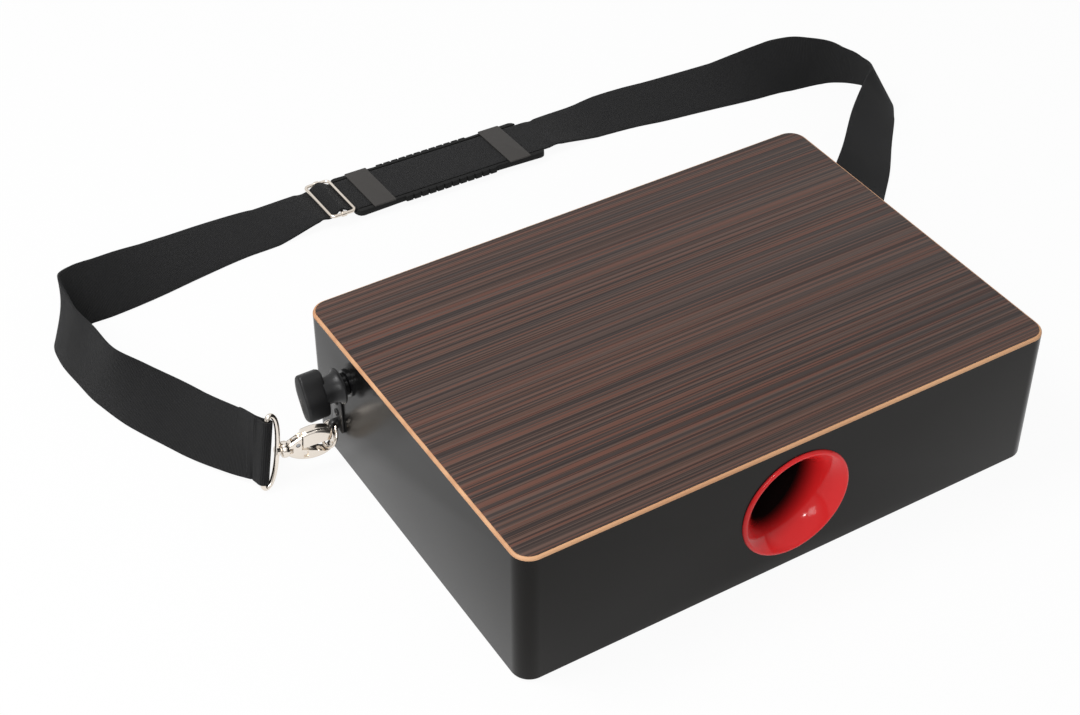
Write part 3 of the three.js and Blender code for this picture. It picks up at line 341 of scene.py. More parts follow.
# %% Group: fine unevenness
uneven, g_in, g_out = new_group("fine_unevenness", [
    ("Vector", "Vector", None), ("Slow scale", "Float", 12.0), ("Fine scale", "Float", 400.0),
], [("Slow", "Float"), ("Fine", "Float")])
slow = node(uneven, "TexNoise", {"Vector": g_in.outputs["Vector"], "Scale": g_in.outputs["Slow scale"],
                                 "Detail": 3.0})
fine = node(uneven, "TexNoise", {"Vector": g_in.outputs["Vector"], "Scale": g_in.outputs["Fine scale"],
                                 "Detail": 2.0})
uneven.links.new(slow.outputs["Fac"], g_out.inputs["Slow"])
uneven.links.new(fine.outputs["Fac"], g_out.inputs["Fine"])

# %% [markdown]
# Veneer that is cut straight shows long, almost parallel stripes. Stretching noise several hundred times
# along the grain gives them. Broad bands, narrow stripes and hair-fine lines are three such noises.

# %% Group: straight grain
grain, g_in, g_out = new_group("straight_grain", [
    ("Vector", "Vector", None), ("Band scale", "Float", 90.0), ("Stripe scale", "Float", 245.0),
    ("Line scale", "Float", 600.0), ("Stretch", "Float", 0.0018),
], [("Bands", "Float"), ("Stripes", "Float"), ("Lines", "Float")])
parts = node(grain, "SeparateXYZ", {"Vector": g_in.outputs["Vector"]})
short = node(grain, "Math", {0: parts.outputs["X"], 1: g_in.outputs["Stretch"]}, operation="MULTIPLY")
stretched = node(grain, "CombineXYZ", {"X": short.outputs[0], "Y": parts.outputs["Y"],
                                       "Z": parts.outputs["Z"]})
for title, scale, detail in (("Bands", "Band scale", 2.0), ("Stripes", "Stripe scale", 3.0),
                             ("Lines", "Line scale", 2.0)):
    noise = node(grain, "TexNoise", {"Vector": stretched.outputs[0], "Scale": g_in.outputs[scale],
                                     "Detail": detail, "Roughness": 0.6})
    grain.links.new(noise.outputs["Fac"], g_out.inputs[title])

# %% [markdown]
# Webbing is woven in rows across its width, and the warp threads cross them. Two sine waves on the
# piece's own UV map, which is written in metres, give rows and threads at their real pitch.

# %% Group: webbing weave
weave, g_in, g_out = new_group("webbing_weave", [
    ("Vector", "Vector", None), ("Row pitch", "Float", 1.25 * MM), ("Thread pitch", "Float", 1.0 * MM),
], [("Height", "Float"), ("Shade", "Float")])
parts = node(weave, "SeparateXYZ", {"Vector": g_in.outputs["Vector"]})
waves = []
for axis, pitch in (("X", "Row pitch"), ("Y", "Thread pitch")):
    turns = node(weave, "Math", {0: parts.outputs[axis], 1: g_in.outputs[pitch]}, operation="DIVIDE")
    angle = node(weave, "Math", {0: turns.outputs[0], 1: 2 * math.pi}, operation="MULTIPLY")
    waves.append(node(weave, "Math", {0: angle.outputs[0]}, operation="SINE"))
crossed = node(weave, "Math", {0: waves[0].outputs[0], 1: waves[1].outputs[0]}, operation="MULTIPLY")
rows = node(weave, "Math", {0: waves[0].outputs[0], 1: 0.6}, operation="MULTIPLY")
height = node(weave, "Math", {0: rows.outputs[0], 1: crossed.outputs[0]}, operation="ADD")
# Shade is painted shade: low in the weave's hollows and high on its raised threads, and it only sets the
# colour
shade = node(weave, "MapRange", {"Value": height.outputs[0], "From Min": -1.6, "From Max": 1.6})
weave.links.new(height.outputs[0], g_out.inputs["Height"])
weave.links.new(shade.outputs["Result"], g_out.inputs["Shade"])

# %% [markdown]
# Most finishes here differ only in tone, gloss and bump, so one function makes them. Colours are written
# as a photo editor shows them, because that is how they are compared with a photograph.

# %% Making a material
def srgb(red, green, blue):
    """A colour as a photo editor writes it, from 0 to 255, turned into Blender's linear values."""
    def linear(value):
        value /= 255
        return value / 12.92 if value <= 0.04045 else ((value + 0.055) / 1.055) ** 2.4
    return (linear(red), linear(green), linear(blue), 1)


def new_material(name, roughness, metallic=0, **sockets):
    material = bpy.data.materials.new(name)
    material.use_nodes = True
    tree = material.node_tree
    shader = tree.nodes["Principled BSDF"]
    shader.inputs["Roughness"].default_value = roughness
    shader.inputs["Metallic"].default_value = metallic
    for key, value in sockets.items():
        shader.inputs[key.replace("_", " ")].default_value = value
    where = node(tree, "TexCoord")
    print("finish", name)
    return material, tree, shader, where


def place_group(tree, group, links):
    return node(tree, "Group", links, node_tree=group)


def add_bump(tree, shader, height, strength, distance):
    bump = node(tree, "Bump", {"Height": height, "Strength": strength, "Distance": distance})
    tree.links.new(bump.outputs["Normal"], shader.inputs["Normal"])


def varied(tree, factor, low, high):
    return node(tree, "MapRange", {"Value": factor, "From Min": 0.3, "From Max": 0.7,
                                   "To Min": low, "To Max": high}).outputs["Result"]


def two_tone(tree, factor, dark, light, low=0.3, high=0.7):
    ramp = node(tree, "ValToRGB", {"Fac": factor})
    ramp.color_ramp.elements[0].position, ramp.color_ramp.elements[0].color = low, dark
    ramp.color_ramp.elements[1].position, ramp.color_ramp.elements[1].color = high, light
    return ramp.outputs["Color"]


def even_finish(name, dark, light, rough, bump, fine_scale=400.0, metallic=0, **sockets):
    """A finish of one colour whose tone, roughness and surface vary a little."""
    material, tree, shader, where = new_material(name, rough[0], metallic, **sockets)
    skin = place_group(tree, uneven, {"Vector": where.outputs["Object"], "Fine scale": fine_scale})
    tree.links.new(two_tone(tree, skin.outputs["Slow"], dark, light), shader.inputs["Base Color"])
    tree.links.new(varied(tree, skin.outputs["Slow"], *rough), shader.inputs["Roughness"])
    add_bump(tree, shader, skin.outputs["Fine"], bump, 0.05 * MM)
    return material

# %% [markdown]
# The plain finishes follow. The black of the walls is a satin paint, so it is rougher than the port's
# polished plastic, and it keeps a trace of the wood's texture. The nickel is warm and bright, but the wall
# eyes are blackened. The knob's grip is dull plastic, and the collar and bush behind it are polished.

# %% Plain finishes
lacquer = even_finish("satin_black_paint", srgb(16, 16, 16), srgb(20, 20, 20), (0.19, 0.24), 0.10, 900.0,
                      Specular_IOR_Level=0.13, Specular_Tint=(1, 0.92, 0.85, 1))
knob_black = even_finish("moulded_black_plastic", srgb(17, 17, 18), srgb(23, 23, 24), (0.30, 0.40), 0.30,
                         1600.0, Specular_IOR_Level=0.35)
bush_black = even_finish("polished_black_plastic", srgb(11, 11, 12), srgb(15, 15, 16), (0.10, 0.16), 0.04,
                         900.0, Specular_IOR_Level=0.35)
eye_black = even_finish("blackened_steel", srgb(16, 16, 16), srgb(22, 22, 22), (0.26, 0.34), 0.12, 700.0)
nickel = even_finish("bright_nickel", srgb(226, 215, 202), srgb(240, 231, 220), (0.09, 0.15), 0.05, 350.0,
                     metallic=1)
steel = even_finish("zinc_plated_steel", srgb(150, 151, 154), srgb(172, 173, 176), (0.28, 0.42), 0.15,
                    700.0, metallic=1)
mat_rubber = even_finish("non_slip_rubber", srgb(24, 24, 25), srgb(32, 32, 33), (0.8, 0.95), 0.8, 1400.0)
pad_rubber = even_finish("moulded_pad_rubber", srgb(17, 17, 17), srgb(22, 22, 22), (0.6, 0.75), 0.5, 1500.0,
                         Specular_IOR_Level=0.2)
bridge_rubber = even_finish("smooth_bridge_rubber", srgb(40, 37, 35), srgb(46, 43, 40), (0.5, 0.6), 0.15,
                            900.0)
thread = even_finish("sewing_thread", srgb(27, 27, 28), srgb(36, 36, 37), (0.8, 0.9), 0.5, 3000.0)

# %% [markdown]
# The horn is polished red plastic. Further in, its colour is darkened to near black as painted shade,
# and the painted shade starts sooner on its left side, which faces away from the light.

# %% Port finish
# painted shade: where the horn's red starts to darken, where it is near black, and how much sooner on the
# left
shade_start, shade_full, shade_sooner_on_left = -148 * MM, -126 * MM, -0.3
port_red, tree, shader, where = new_material("polished_red_plastic_with_painted_shade", 0.13, Specular_IOR_Level=0.24)
skin = place_group(tree, uneven, {"Vector": where.outputs["Object"], "Fine scale": 300.0})
tree.links.new(varied(tree, skin.outputs["Slow"], 0.10, 0.15), shader.inputs["Roughness"])
# the painted shade grows with depth into the horn, and sooner towards its left side
apart = node(tree, "SeparateXYZ", {"Vector": where.outputs["Object"]})
aside = node(tree, "Math", {0: apart.outputs["X"], 1: shade_sooner_on_left, 2: apart.outputs["Y"]},
             operation="MULTIPLY_ADD")
depth = node(tree, "MapRange", {"Value": aside.outputs[0], "From Min": shade_start, "From Max": shade_full},
             interpolation_type="SMOOTHSTEP")
red = two_tone(tree, skin.outputs["Slow"], srgb(222, 36, 38), srgb(230, 42, 44))
# the near-black colour is painted shade deep in the horn, not the plastic's own colour
tree.links.new(node(tree, "MixRGB", {"Fac": depth.outputs["Result"], "Color1": red,
                                     "Color2": srgb(20, 12, 12)}).outputs[0], shader.inputs["Base Color"])

# %% [markdown]
# Wood needs its grain. The face veneer mixes dark brown, red brown and near black. The ply edge shows
# pale wood with faint layers, and the blocks inside are plain softwood.

# %% Wooden finishes
veneer, tree, shader, where = new_material("striped_face_veneer", 0.40, Specular_IOR_Level=0.22)
figure = place_group(tree, grain, {"Vector": where.outputs["Object"]})


def streaks(factor, start, end, below, colour, most=1.0):
    """Lays a colour over another one where a noise passes from one value to the next."""
    share = node(tree, "MapRange", {"Value": factor, "From Min": start, "From Max": end, "To Max": most})
    laid = node(tree, "MixRGB", {"Fac": share.outputs["Result"], "Color1": below, "Color2": colour})
    return laid.outputs[0]


tone = streaks(figure.outputs["Bands"], 0.47, 0.53, srgb(70, 57, 52), srgb(80, 60, 52))
tone = streaks(figure.outputs["Stripes"], 0.53, 0.55, tone, srgb(99, 64, 53), 0.85)
tone = streaks(figure.outputs["Stripes"], 0.475, 0.455, tone, srgb(55, 47, 45), 0.85)
tone = streaks(figure.outputs["Lines"], 0.54, 0.565, tone, srgb(39, 30, 28), 0.8)
tone = streaks(figure.outputs["Lines"], 0.44, 0.415, tone, srgb(94, 74, 66), 0.7)
tree.links.new(tone, shader.inputs["Base Color"])
tree.links.new(varied(tree, figure.outputs["Stripes"], 0.36, 0.46), shader.inputs["Roughness"])
add_bump(tree, shader, figure.outputs["Lines"], 0.15, 0.04 * MM)


def pale_wood(name, dark, light, band, roughness):
    material, tree, shader, where = new_material(name, roughness)
    figure = place_group(tree, grain, {"Vector": where.outputs["Object"], "Band scale": band,
                                       "Stretch": 0.06})
    tree.links.new(two_tone(tree, figure.outputs["Bands"], dark, light), shader.inputs["Base Color"])
    tree.links.new(varied(tree, figure.outputs["Stripes"], roughness, roughness + 0.15),
                   shader.inputs["Roughness"])
    add_bump(tree, shader, figure.outputs["Stripes"], 0.4, 0.08 * MM)
    return material


ply = pale_wood("pale_birch_ply", srgb(186, 134, 96), srgb(214, 166, 124), 60.0, 0.5)
softwood = pale_wood("plain_softwood", srgb(196, 158, 106), srgb(222, 186, 134), 90.0, 0.65)

# %% [markdown]
# Webbing is matt and nearly black. Its colour is darkened in the gaps between the rows as painted shade and
# lifted on the threads as painted highlight, and its bump lets light which grazes the band show its rows. A
# bump is enough for threads of a millimetre.

# %% Webbing finish
webbing, tree, shader, where = new_material("black_webbing", 0.8, Sheen_Weight=0.05, Specular_IOR_Level=0.2)
cloth = place_group(tree, weave, {"Vector": where.outputs["UV"]})
# the colour follows Shade: painted shade in the gaps between the rows, painted highlight on the threads
tree.links.new(two_tone(tree, cloth.outputs["Shade"], srgb(5, 5, 6), srgb(36, 36, 37), 0.2, 0.9),
               shader.inputs["Base Color"])
add_bump(tree, shader, cloth.outputs["Height"], 1.0, 0.22 * MM)

# %% [markdown]
# Nodes whose shape is right keep their frame mesh and only get a better finish.

# %% Finishes for the nodes that stay
stay = {
    softwood: ["corner_block_1", "corner_block_2", "corner_block_3", "corner_block_4", "front_cleat",
               "back_cleat", "shaft_bearing", "snare_batten"],
    ply: ["bottom_panel"],
    steel: ["bottom_screw_1", "bottom_screw_2", "bottom_screw_3", "bottom_screw_4", "snare_shaft",
            "snare_arm_left", "snare_arm_right", "snare_wires_left", "snare_wires_right", "left_gate_pin",
            "right_gate_pin", "left_gate_spring", "right_gate_spring"],
    mat_rubber: ["non_slip_mat"],
}
for finish, names in stay.items():
    for name in names:
        frame["nodes"][name].material_slots[0].material = finish
print(sum(len(names) for names in stay.values()), "nodes keep their shape")

# %% [markdown]
# ## The box
# The walls are glued at the corners and painted together, so no joint shows: one shell stands for the
# four boards. It starts as a block whose corners are bevelled. The top and bottom faces are inset by the
# wall's thickness, and bridging the two inner faces opens the box from end to end.

# %% Walls
walls = rounded_block(box_length, box_depth, base_z, tapa_under_z, corner_radius)
edit(walls)
pick(walls, "FACE", lambda face: abs(face.normal.z) > 0.9)
bpy.ops.mesh.inset(thickness=wall_thickness, depth=0)
bpy.ops.mesh.bridge_edge_loops()
pick(walls, "EDGE", lambda edge: len(edge.link_faces) == 2
     and any(face.normal.z < -0.9 for face in edge.link_faces)
     and any(abs(face.normal.z) < 0.1 and face.normal.dot(edge.verts[0].co.xy.to_3d()) > 0
             for face in edge.link_faces))
bpy.ops.mesh.bevel(offset=lower_edge_round, segments=4, profile=0.5)
face_outward()
leave()
print("walls", len(walls.data.polygons), "faces")

# %% [markdown]
# The walls are bored before they are hung: a wide hole for the port at the front, and a small one on the
# left for the bush that the knob's shaft runs in. A rod slightly wider than the fitting cuts each hole.

# %% Holes for the port and the knob's bush
port_z = base_z + box_height / 2
port_mouth, port_wall, port_lip = 41 * MM, 2.4 * MM, 45 * MM
port_seat = port_mouth + port_wall * 0.6
snare_y, snare_z = 90 * MM, 89.5 * MM
bush_barrel = 7 * MM


def on_shaft(start):
    """Puts a turned piece on the line of the snare shaft, from a place along X."""
    return Matrix.Translation((start, snare_y, snare_z)) @ along_x()


port_hole = rod(-wall_y - overrun, -wall_y + wall_thickness + overrun, port_seat + seat_gap, 96)
combine(walls, set_down(port_hole, Matrix.Translation((0, 0, port_z)) @ along_y()), "DIFFERENCE")
bush_hole = rod(-wall_x - overrun, -wall_x + wall_thickness + overrun, bush_barrel + seat_gap, 32)
combine(walls, set_down(bush_hole, on_shaft(0)), "DIFFERENCE")
print("walls with their holes", len(walls.data.polygons), "faces")

# %% [markdown]
# The playing panel is thin ply. Its upper edge is rounded by hand with a quarter curve, and the dark
# veneer starts where that curve ends, which leaves the pale band all round.

# %% Playing panel and its veneer
tapa = rounded_block(box_length, box_depth, tapa_under_z, veneer_z, corner_radius)
edit(tapa)
pick(tapa, "EDGE", lambda edge: all(vertex.co.z > veneer_z - 0.01 * MM for vertex in edge.verts))
bpy.ops.mesh.bevel(offset=veneer_inset * 0.9, segments=6, profile=0.5)
leave()
hang(tapa, "playing_panel", "root", ["tapa_panel"], ply)

face_veneer = rounded_block(box_length - 2 * veneer_inset, box_depth - 2 * veneer_inset, veneer_z, top_z,
                            corner_radius - veneer_inset)
edit(face_veneer)
pick(face_veneer, "EDGE", lambda edge: all(vertex.co.z > top_z - 0.01 * MM for vertex in edge.verts))
bpy.ops.mesh.bevel(offset=0.3 * MM, segments=2, profile=0.5)
leave()
hang(face_veneer, "face_veneer", "root", ["tapa_veneer"], veneer)

# %% [markdown]
# ## The bass port
# The port is a turned part: a rounded lip on the wall, a horn that narrows fast at first and slowly
# later, and a straight tube. Its profile is drawn once and spun.

# %% Port
port_throat, port_flare, port_length, lip_proud = 27 * MM, 38 * MM, 84 * MM, 2.2 * MM
crest, crest_half = (port_lip + port_mouth) / 2, (port_lip - port_mouth) / 2
lip = [(crest + crest_half * math.cos(k * 9 * degree), -lip_proud * math.sin(k * 9 * degree))
       for k in range(1, 14)]
horn_start, lip_end = lip[-1]


def horn_radius(depth):
    share = min(max((depth - lip_end) / (port_flare - lip_end), 0), 1)
    return port_throat + (horn_start - port_throat) * (1 - share) ** 4


depths = [lip_end + (port_flare - lip_end) * (k / 28) ** 1.5 for k in range(1, 29)]
inner = [(horn_radius(depth), depth) for depth in depths]
outer = [(min(horn_radius(depth) + port_wall, port_seat), depth) for depth in depths if depth > port_wall]
port_profile = [(port_seat, 0), (port_lip, 0), *lip, *inner, (port_throat, port_length),
                (port_throat + port_wall, port_length), *reversed(outer), (port_seat, port_wall)]
port = turned_solid(port_profile, 112, ring=True)
set_down(port, Matrix.Translation((0, -wall_y, port_z)) @ along_y())
hang(port, "bass_port_horn", "root", ["bass_port"], port_red, smooth=50)

# %% [markdown]
# ## The snare knob
# The knob has a narrow grip, as long as the knob is wide, on a bell-shaped hub. The grip's outline is
# pulled back level by level and scaled at each, so that its edges are round. The hub is turned.

# %% Knob
knob_reach, cap_length, cap_radius = 36.5 * MM, 18 * MM, 18 * MM
edge_round, crown, grip_turn = 2.4 * MM, 0.6 * MM, 59.6 * degree
flange_thickness, collar_length, hub_gap = 1.8 * MM, 3.4 * MM, 1 * MM
hub_front, hub_back, shaft_radius, shaft_in_knob = 10 * MM, 13.5 * MM, 4 * MM, 24 * MM
grip_shares = [(1.0, 0.10), (0.95, 0.32), (0.78, 0.41), (0.3, 0.43), (-0.38, 0.42), (-0.75, 0.28),
               (-0.96, 0.12)]
grip_shares += [(-u, -v) for u, v in grip_shares]
cap_front = -wall_x - knob_reach
cap_back = cap_front + cap_length
levels = [(0.35, 0), (0.62, 0.2 * crown), (0.8, crown)]
levels += [(1 - edge_round / cap_radius * 1.2 * (1 - math.sin(k * 15 * degree)),
            crown + edge_round * (1 - math.cos(k * 15 * degree))) for k in range(1, 7)]
levels += [(1, cap_length - edge_round), (1 - edge_round / cap_radius * 0.3, cap_length - edge_round * 0.3),
           (1 - edge_round / cap_radius, cap_length)]
sides_round = 144
grip = closed_outline(grip_shares, cap_radius, cap_radius, sides_round)
first_scale, first_level = levels[0]
knob = fresh(bpy.ops.mesh.primitive_circle_add, vertices=sides_round, radius=cap_radius, fill_type="NGON")
for vertex, (u, v) in zip(knob.data.vertices, grip):
    rise = u * math.sin(grip_turn) + v * math.cos(grip_turn)
    reach = u * math.cos(grip_turn) - v * math.sin(grip_turn)
    vertex.co = (-rise * first_scale, reach * first_scale, first_level)
edit(knob)
bpy.ops.mesh.select_all(action="SELECT")
for (scale_before, level_before), (scale_now, level_now) in zip(levels, levels[1:]):
    bpy.ops.mesh.extrude_region_move(TRANSFORM_OT_translate={"value": (0, 0, level_now - level_before)})
    ratio = scale_now / scale_before
    bpy.ops.transform.resize(value=(ratio, ratio, 1), center_override=(0, 0, 0))
face_outward()
leave()
set_down(knob, on_shaft(cap_front))

# %% [markdown]
# Behind the grip the hub widens like a bell towards the wall. A collar holds the hub off the wall, and a
# flanged bush lines the hole that the shaft runs in. All three are round, so each is spun from a profile.

# %% Hub, collar and bush behind the grip
hub_end = -wall_x - flange_thickness - collar_length - hub_gap
hub_length = hub_end - cap_back
bell = [(0, -overrun), (hub_front, -overrun)]
bell += [(hub_front + (hub_back - hub_front) * (1 - math.cos(k * 7.5 * degree)),
          hub_length * (0.1 + 0.8 * math.sin(k * 7.5 * degree))) for k in range(1, 13)]
bell += [(hub_back, hub_length * 0.97), (hub_back * 0.96, hub_length), (0, hub_length)]
combine(knob, set_down(turned_solid(bell, 64), on_shaft(cap_back)), "UNION")
bore = rod(hub_end - shaft_in_knob - seat_gap, hub_end + overrun, shaft_radius + seat_gap)
combine(knob, set_down(bore, on_shaft(0)), "DIFFERENCE")
hang(knob, "lobed_snare_knob", "snare", ["snare_knob"], knob_black, smooth=32)

collar_bore, collar_radius, collar_chamfer = shaft_radius + running_gap, 8.5 * MM, 0.5 * MM
collar_profile = [(collar_bore, 0), (collar_radius - collar_chamfer, 0), (collar_radius, collar_chamfer),
                  (collar_radius, collar_length - collar_chamfer),
                  (collar_radius - collar_chamfer, collar_length), (collar_bore, collar_length)]
flange_face = -wall_x - flange_thickness
collar = turned_solid(collar_profile, 48, ring=True)
set_down(collar, on_shaft(flange_face - collar_length))
hang(collar, "snare_collar", "root", ["shaft_collar"], bush_black)

flange_radius, bush_length = 10.5 * MM, wall_thickness + overrun + flange_thickness
bush_profile = [(collar_bore, 0), (flange_radius - collar_chamfer, 0), (flange_radius, collar_chamfer),
                (flange_radius, flange_thickness), (bush_barrel, flange_thickness),
                (bush_barrel, bush_length), (collar_bore, bush_length)]
bush = turned_solid(bush_profile, 48, ring=True)
set_down(bush, on_shaft(flange_face))
hang(bush, "snare_bush", "root", ["shaft_bush"], bush_black)

# %% [markdown]
# ## Hooks and their frames
# Each hook has its own frame: u runs from the swivel head to the nose and v points up. The loop that
# carries the webbing has a frame too. Everything on a hook is drawn in these frames and then set down.

# %% Frames of the hooks and loops
hook_length, hook_half, hook_thickness, hook_round = 40 * MM, 13 * MM, 8 * MM, 2.6 * MM
hook_wall_gap, nose_height, eye_y = 3.3 * MM, 22 * MM, 109 * MM
head_radius, head_length, stud_radius = 6.4 * MM, 6 * MM, 2 * MM
stud_head_radius, stud_head_length, stud_neck, swivel_play = 4 * MM, 1.8 * MM, 3.8 * MM, 1.1 * MM
loop_bar, loop_depth, loop_wire = 55 * MM, 10.5 * MM, 2 * MM
head_back = -head_length * 0.6
pocket_start = head_back + head_length - stud_head_length - 2 * running_gap
sides = [
    {"name": "left", "side": -1, "hook": (8, 4), "loop": (-1, 15), "roll": 78},
    {"name": "right", "side": 1, "hook": (19, 4), "loop": (31, 8), "roll": 40},
]


def basis(x_axis, y_axis, z_axis, origin):
    return Matrix.Translation(origin) @ Matrix((x_axis, y_axis, z_axis)).transposed().to_4x4()


def pull_direction(side, yaw, pitch):
    yaw, pitch = yaw * degree, pitch * degree
    level = math.cos(pitch)
    return -Vector((side * math.cos(yaw) * level, math.sin(yaw) * level, math.sin(pitch)))


def hook_frame(place):
    along = pull_direction(place["side"], *place["hook"])
    across = Vector((0, 0, 1)).cross(along).normalized()
    nose = Vector((place["side"] * (wall_x + hook_wall_gap), eye_y, base_z + nose_height))
    return basis(along, across, along.cross(across), nose - along * hook_length)


def loop_frame(place):
    side, roll = place["side"], place["roll"] * degree
    along = pull_direction(side, *place["loop"])
    level = Vector((0, 0, 1)).cross(along).normalized() * -side
    upright = along.cross(level) * -side
    bar = level * math.cos(roll) + upright * math.sin(roll)
    across = bar.cross(along).normalized()
    centre = hook_frame(place) @ Vector(((head_back + pocket_start) / 2, 0, 0))
    return basis(along, across, bar, centre - along * stud_neck)


for joint in frame["joints"]:
    if joint["name"] == "left_hook_swivel":
        print("hook origin differs from the frame by",
              (hook_frame(sides[0]).translation - Vector(joint["pos_m"])).length / MM, "mm")

# %% [markdown]
# ## The wall eyes
# A small plate is screwed to each side wall. Its lug is bored for the ring, and the ring hangs from the
# lug out to the hook's mouth, so its tilt follows from those two places.

# %% Where the ring hangs
ring_radius, ring_wire, lug_stand_off = 9.6 * MM, 1.2 * MM, 4.6 * MM
lug_x = wall_x + lug_stand_off
seat_u, seat_v = 0.762 * hook_length, -0.31 * hook_half


def ring_seat(place):
    return hook_frame(place) @ Vector((seat_u, 0, seat_v))


def ring_top(place):
    seat = ring_seat(place)
    run = abs(seat.x) - lug_x
    rise = math.sqrt((2 * ring_radius) ** 2 - run ** 2 - (seat.y - eye_y) ** 2)
    return Vector((place["side"] * lug_x, eye_y, seat.z + rise))


lug_z = ring_top(sides[0]).z
print("the lugs are", round(lug_z / MM, 1), "mm above the floor")

# %% [markdown]
# The plate is a rounded rectangle that is pulled to its thickness. The lug is a second outline, a bar with
# a half-round end, so the two are drawn apart, joined, and bored for the ring.

# %% Eye plate
plate_width, plate_height, plate_thickness, plate_corner = 16 * MM, 32 * MM, 1.6 * MM, 4 * MM
plate_below, lug_width, lug_radius, lug_bore, lug_round = 7 * MM, 4 * MM, 4.2 * MM, 2.6 * MM, 0.5 * MM


def make_plate(name, on_wall):
    raised = plate_height / 2 - plate_below
    flat = rounded_rectangle(plate_width / 2, plate_height / 2, plate_corner)
    plate = outline_solid([(x, y + raised) for x, y in flat], 0, plate_thickness, plate_thickness * 0.25, 2)
    arc = [(lug_stand_off + lug_radius * math.cos(k * 10 * degree - math.pi / 2),
            lug_radius * math.sin(k * 10 * degree - math.pi / 2)) for k in range(19)]
    lug_outline = [(plate_thickness * 0.5, -lug_radius), *arc, (plate_thickness * 0.5, lug_radius)]
    lug = outline_solid(lug_outline, -lug_width / 2, lug_width / 2, lug_round, 2)
    # the lug is drawn flat, so x and z change places to make its outline stand out from the plate
    set_down(lug, Matrix(((0, 0, 1, 0), (0, 1, 0, 0), (1, 0, 0, 0), (0, 0, 0, 1))))
    edit(lug)
    face_outward()
    leave()
    combine(plate, lug, "UNION")
    bore_tool = rod(-lug_width, lug_width, lug_bore)
    set_down(bore_tool, Matrix.Translation((0, 0, lug_stand_off)) @ along_x())
    combine(plate, bore_tool, "DIFFERENCE")
    hang(set_down(plate, on_wall), f"{name}_wall_eye", "root", [f"{name}_eye_plate"], eye_black)

# %% [markdown]
# Two screws hold each plate, one above the other over the lug. A screw is spun from one profile, with a
# pointed end in the wood and a domed head on the plate.

# %% Eye screws
screw_spacing, screw_head, screw_head_height = 10.5 * MM, 2.9 * MM, 1.6 * MM
screw_radius, screw_length = 1.7 * MM, 11 * MM
screw_slot = (screw_head * 1.1, 0.55 * MM, screw_head_height)


def make_screw(name, number, on_wall):
    under = plate_thickness + seat_gap
    profile = [(0, -screw_length), (screw_radius, screw_radius * 2 - screw_length), (screw_radius, under),
               (screw_head, under)]
    profile += [(screw_head * math.cos(k * 15 * degree),
                 under + screw_head_height * (0.3 + 0.7 * math.sin(k * 15 * degree))) for k in range(6)]
    profile.append((0, under + screw_head_height))
    screw = turned_solid(profile, 32)
    for turn in (0, 90):
        # the block is scaled as it is made and again as it is set down, so it only pricks the head
        slot_tool = fresh(bpy.ops.mesh.primitive_cube_add, size=1, scale=screw_slot)
        up = Matrix.Translation((0, 0, under + screw_head_height * 0.98))
        set_down(slot_tool, up @ Matrix.Rotation(turn * degree, 4, "Z") @ Matrix.Diagonal((*screw_slot, 1)))
        combine(screw, slot_tool, "DIFFERENCE")
    up_plate = on_wall @ Matrix.Translation((0, number * screw_spacing, 0))
    hang(set_down(screw, up_plate), f"{name}_eye_crosshead_{number}", "root",
         [f"{name}_eye_screw_{number}"], eye_black)

# %% [markdown]
# The ring is a torus, turned so that the lug holds its top and the hook's mouth its bottom. Then the
# eyes are made on both sides, and the walls get their screw holes and are hung in place of four boards.

# %% Hanging rings, and the eyes of both sides
def make_ring(place):
    name, seat, top = place["name"], ring_seat(place), ring_top(place)
    down = (seat - top).normalized()
    across = (Vector((0, 1, 0)) - down * down.y).normalized()
    ring = fresh(bpy.ops.mesh.primitive_torus_add, major_segments=72, minor_segments=18,
                 major_radius=ring_radius, minor_radius=ring_wire)
    set_down(ring, basis(across, down, across.cross(down), (top + seat) / 2))
    hang(ring, f"{name}_hanging_ring", f"{name}_ring", [f"{name}_eye_ring"], nickel)


for place in sides:
    side = place["side"]
    on_wall = basis(Vector((0, side, 0)), Vector((0, 0, 1)), Vector((side, 0, 0)),
                    Vector((side * wall_x, eye_y, lug_z)))
    make_plate(place["name"], on_wall)
    for number in (1, 2):
        make_screw(place["name"], number, on_wall)
    make_ring(place)

for side in (-1, 1):
    for number in (1, 2):
        hole = rod(-screw_length - seat_gap, overrun, screw_radius + seat_gap, 24)
        at = Vector((side * wall_x, eye_y, lug_z + number * screw_spacing))
        turn = Matrix.Translation(at) @ (along_x() if side > 0 else Matrix.Rotation(-90 * degree, 4, "Y"))
        combine(walls, set_down(hole, turn), "DIFFERENCE")
hang(walls, "painted_walls", "root",
     ["front_board", "back_board", "left_board", "right_board"], lacquer, smooth=30)

# %% [markdown]
# ## The snap hooks
# The hook body is one casting: a leaf-shaped plate with rounded edges, opened by a mouth so that its
# end curls back as a nose, and joined to a round swivel head. The gate is the piece of the same leaf
# that closes the mouth, on a tongue that turns on the pin.

# %% Outlines of the hook
leaf_shares = [(0.02, -0.31), (0.18, -0.73), (0.45, -0.96), (0.73, -0.85), (0.91, -0.46), (1, 0.08),
               (0.965, 0.58), (0.82, 0.85), (0.59, 1), (0.32, 0.88), (0.14, 0.58), (0.02, 0.31)]
mouth_shares = [(0.296, 1.6), (0.296, -0.08), (0.61, -0.38), (0.73, -0.53), (0.84, -0.49), (0.892, -0.27),
                (0.892, 0.55), (1.05, 0.55), (1.05, 1.6)]
gate_shares = [(0.314, 1.6), (0.314, 0.08), (0.866, 0.33), (0.866, 1.6)]
pivot_u, pivot_v, pin_radius = 9 * MM, 4 * MM, 1.5 * MM
tongue_width, tongue_radius, cheek_slot = 1.8 * MM, 4.4 * MM, 5 * MM
gate_spread, gate_rise, side_groove = 1 * MM, 1.2, 1.4 * MM
groove_low, groove_high = (0.33, -0.68), (0.42, -0.24)
casting_round, gate_round = 0.25 * MM, 0.2 * MM
head_shares = [(0.75, 0), (0.9, 0.1), (1, 0.3), (1, 0.7), (0.93, 0.88), (0.8, 1)]
stand_up = Matrix.Rotation(90 * degree, 4, "X")


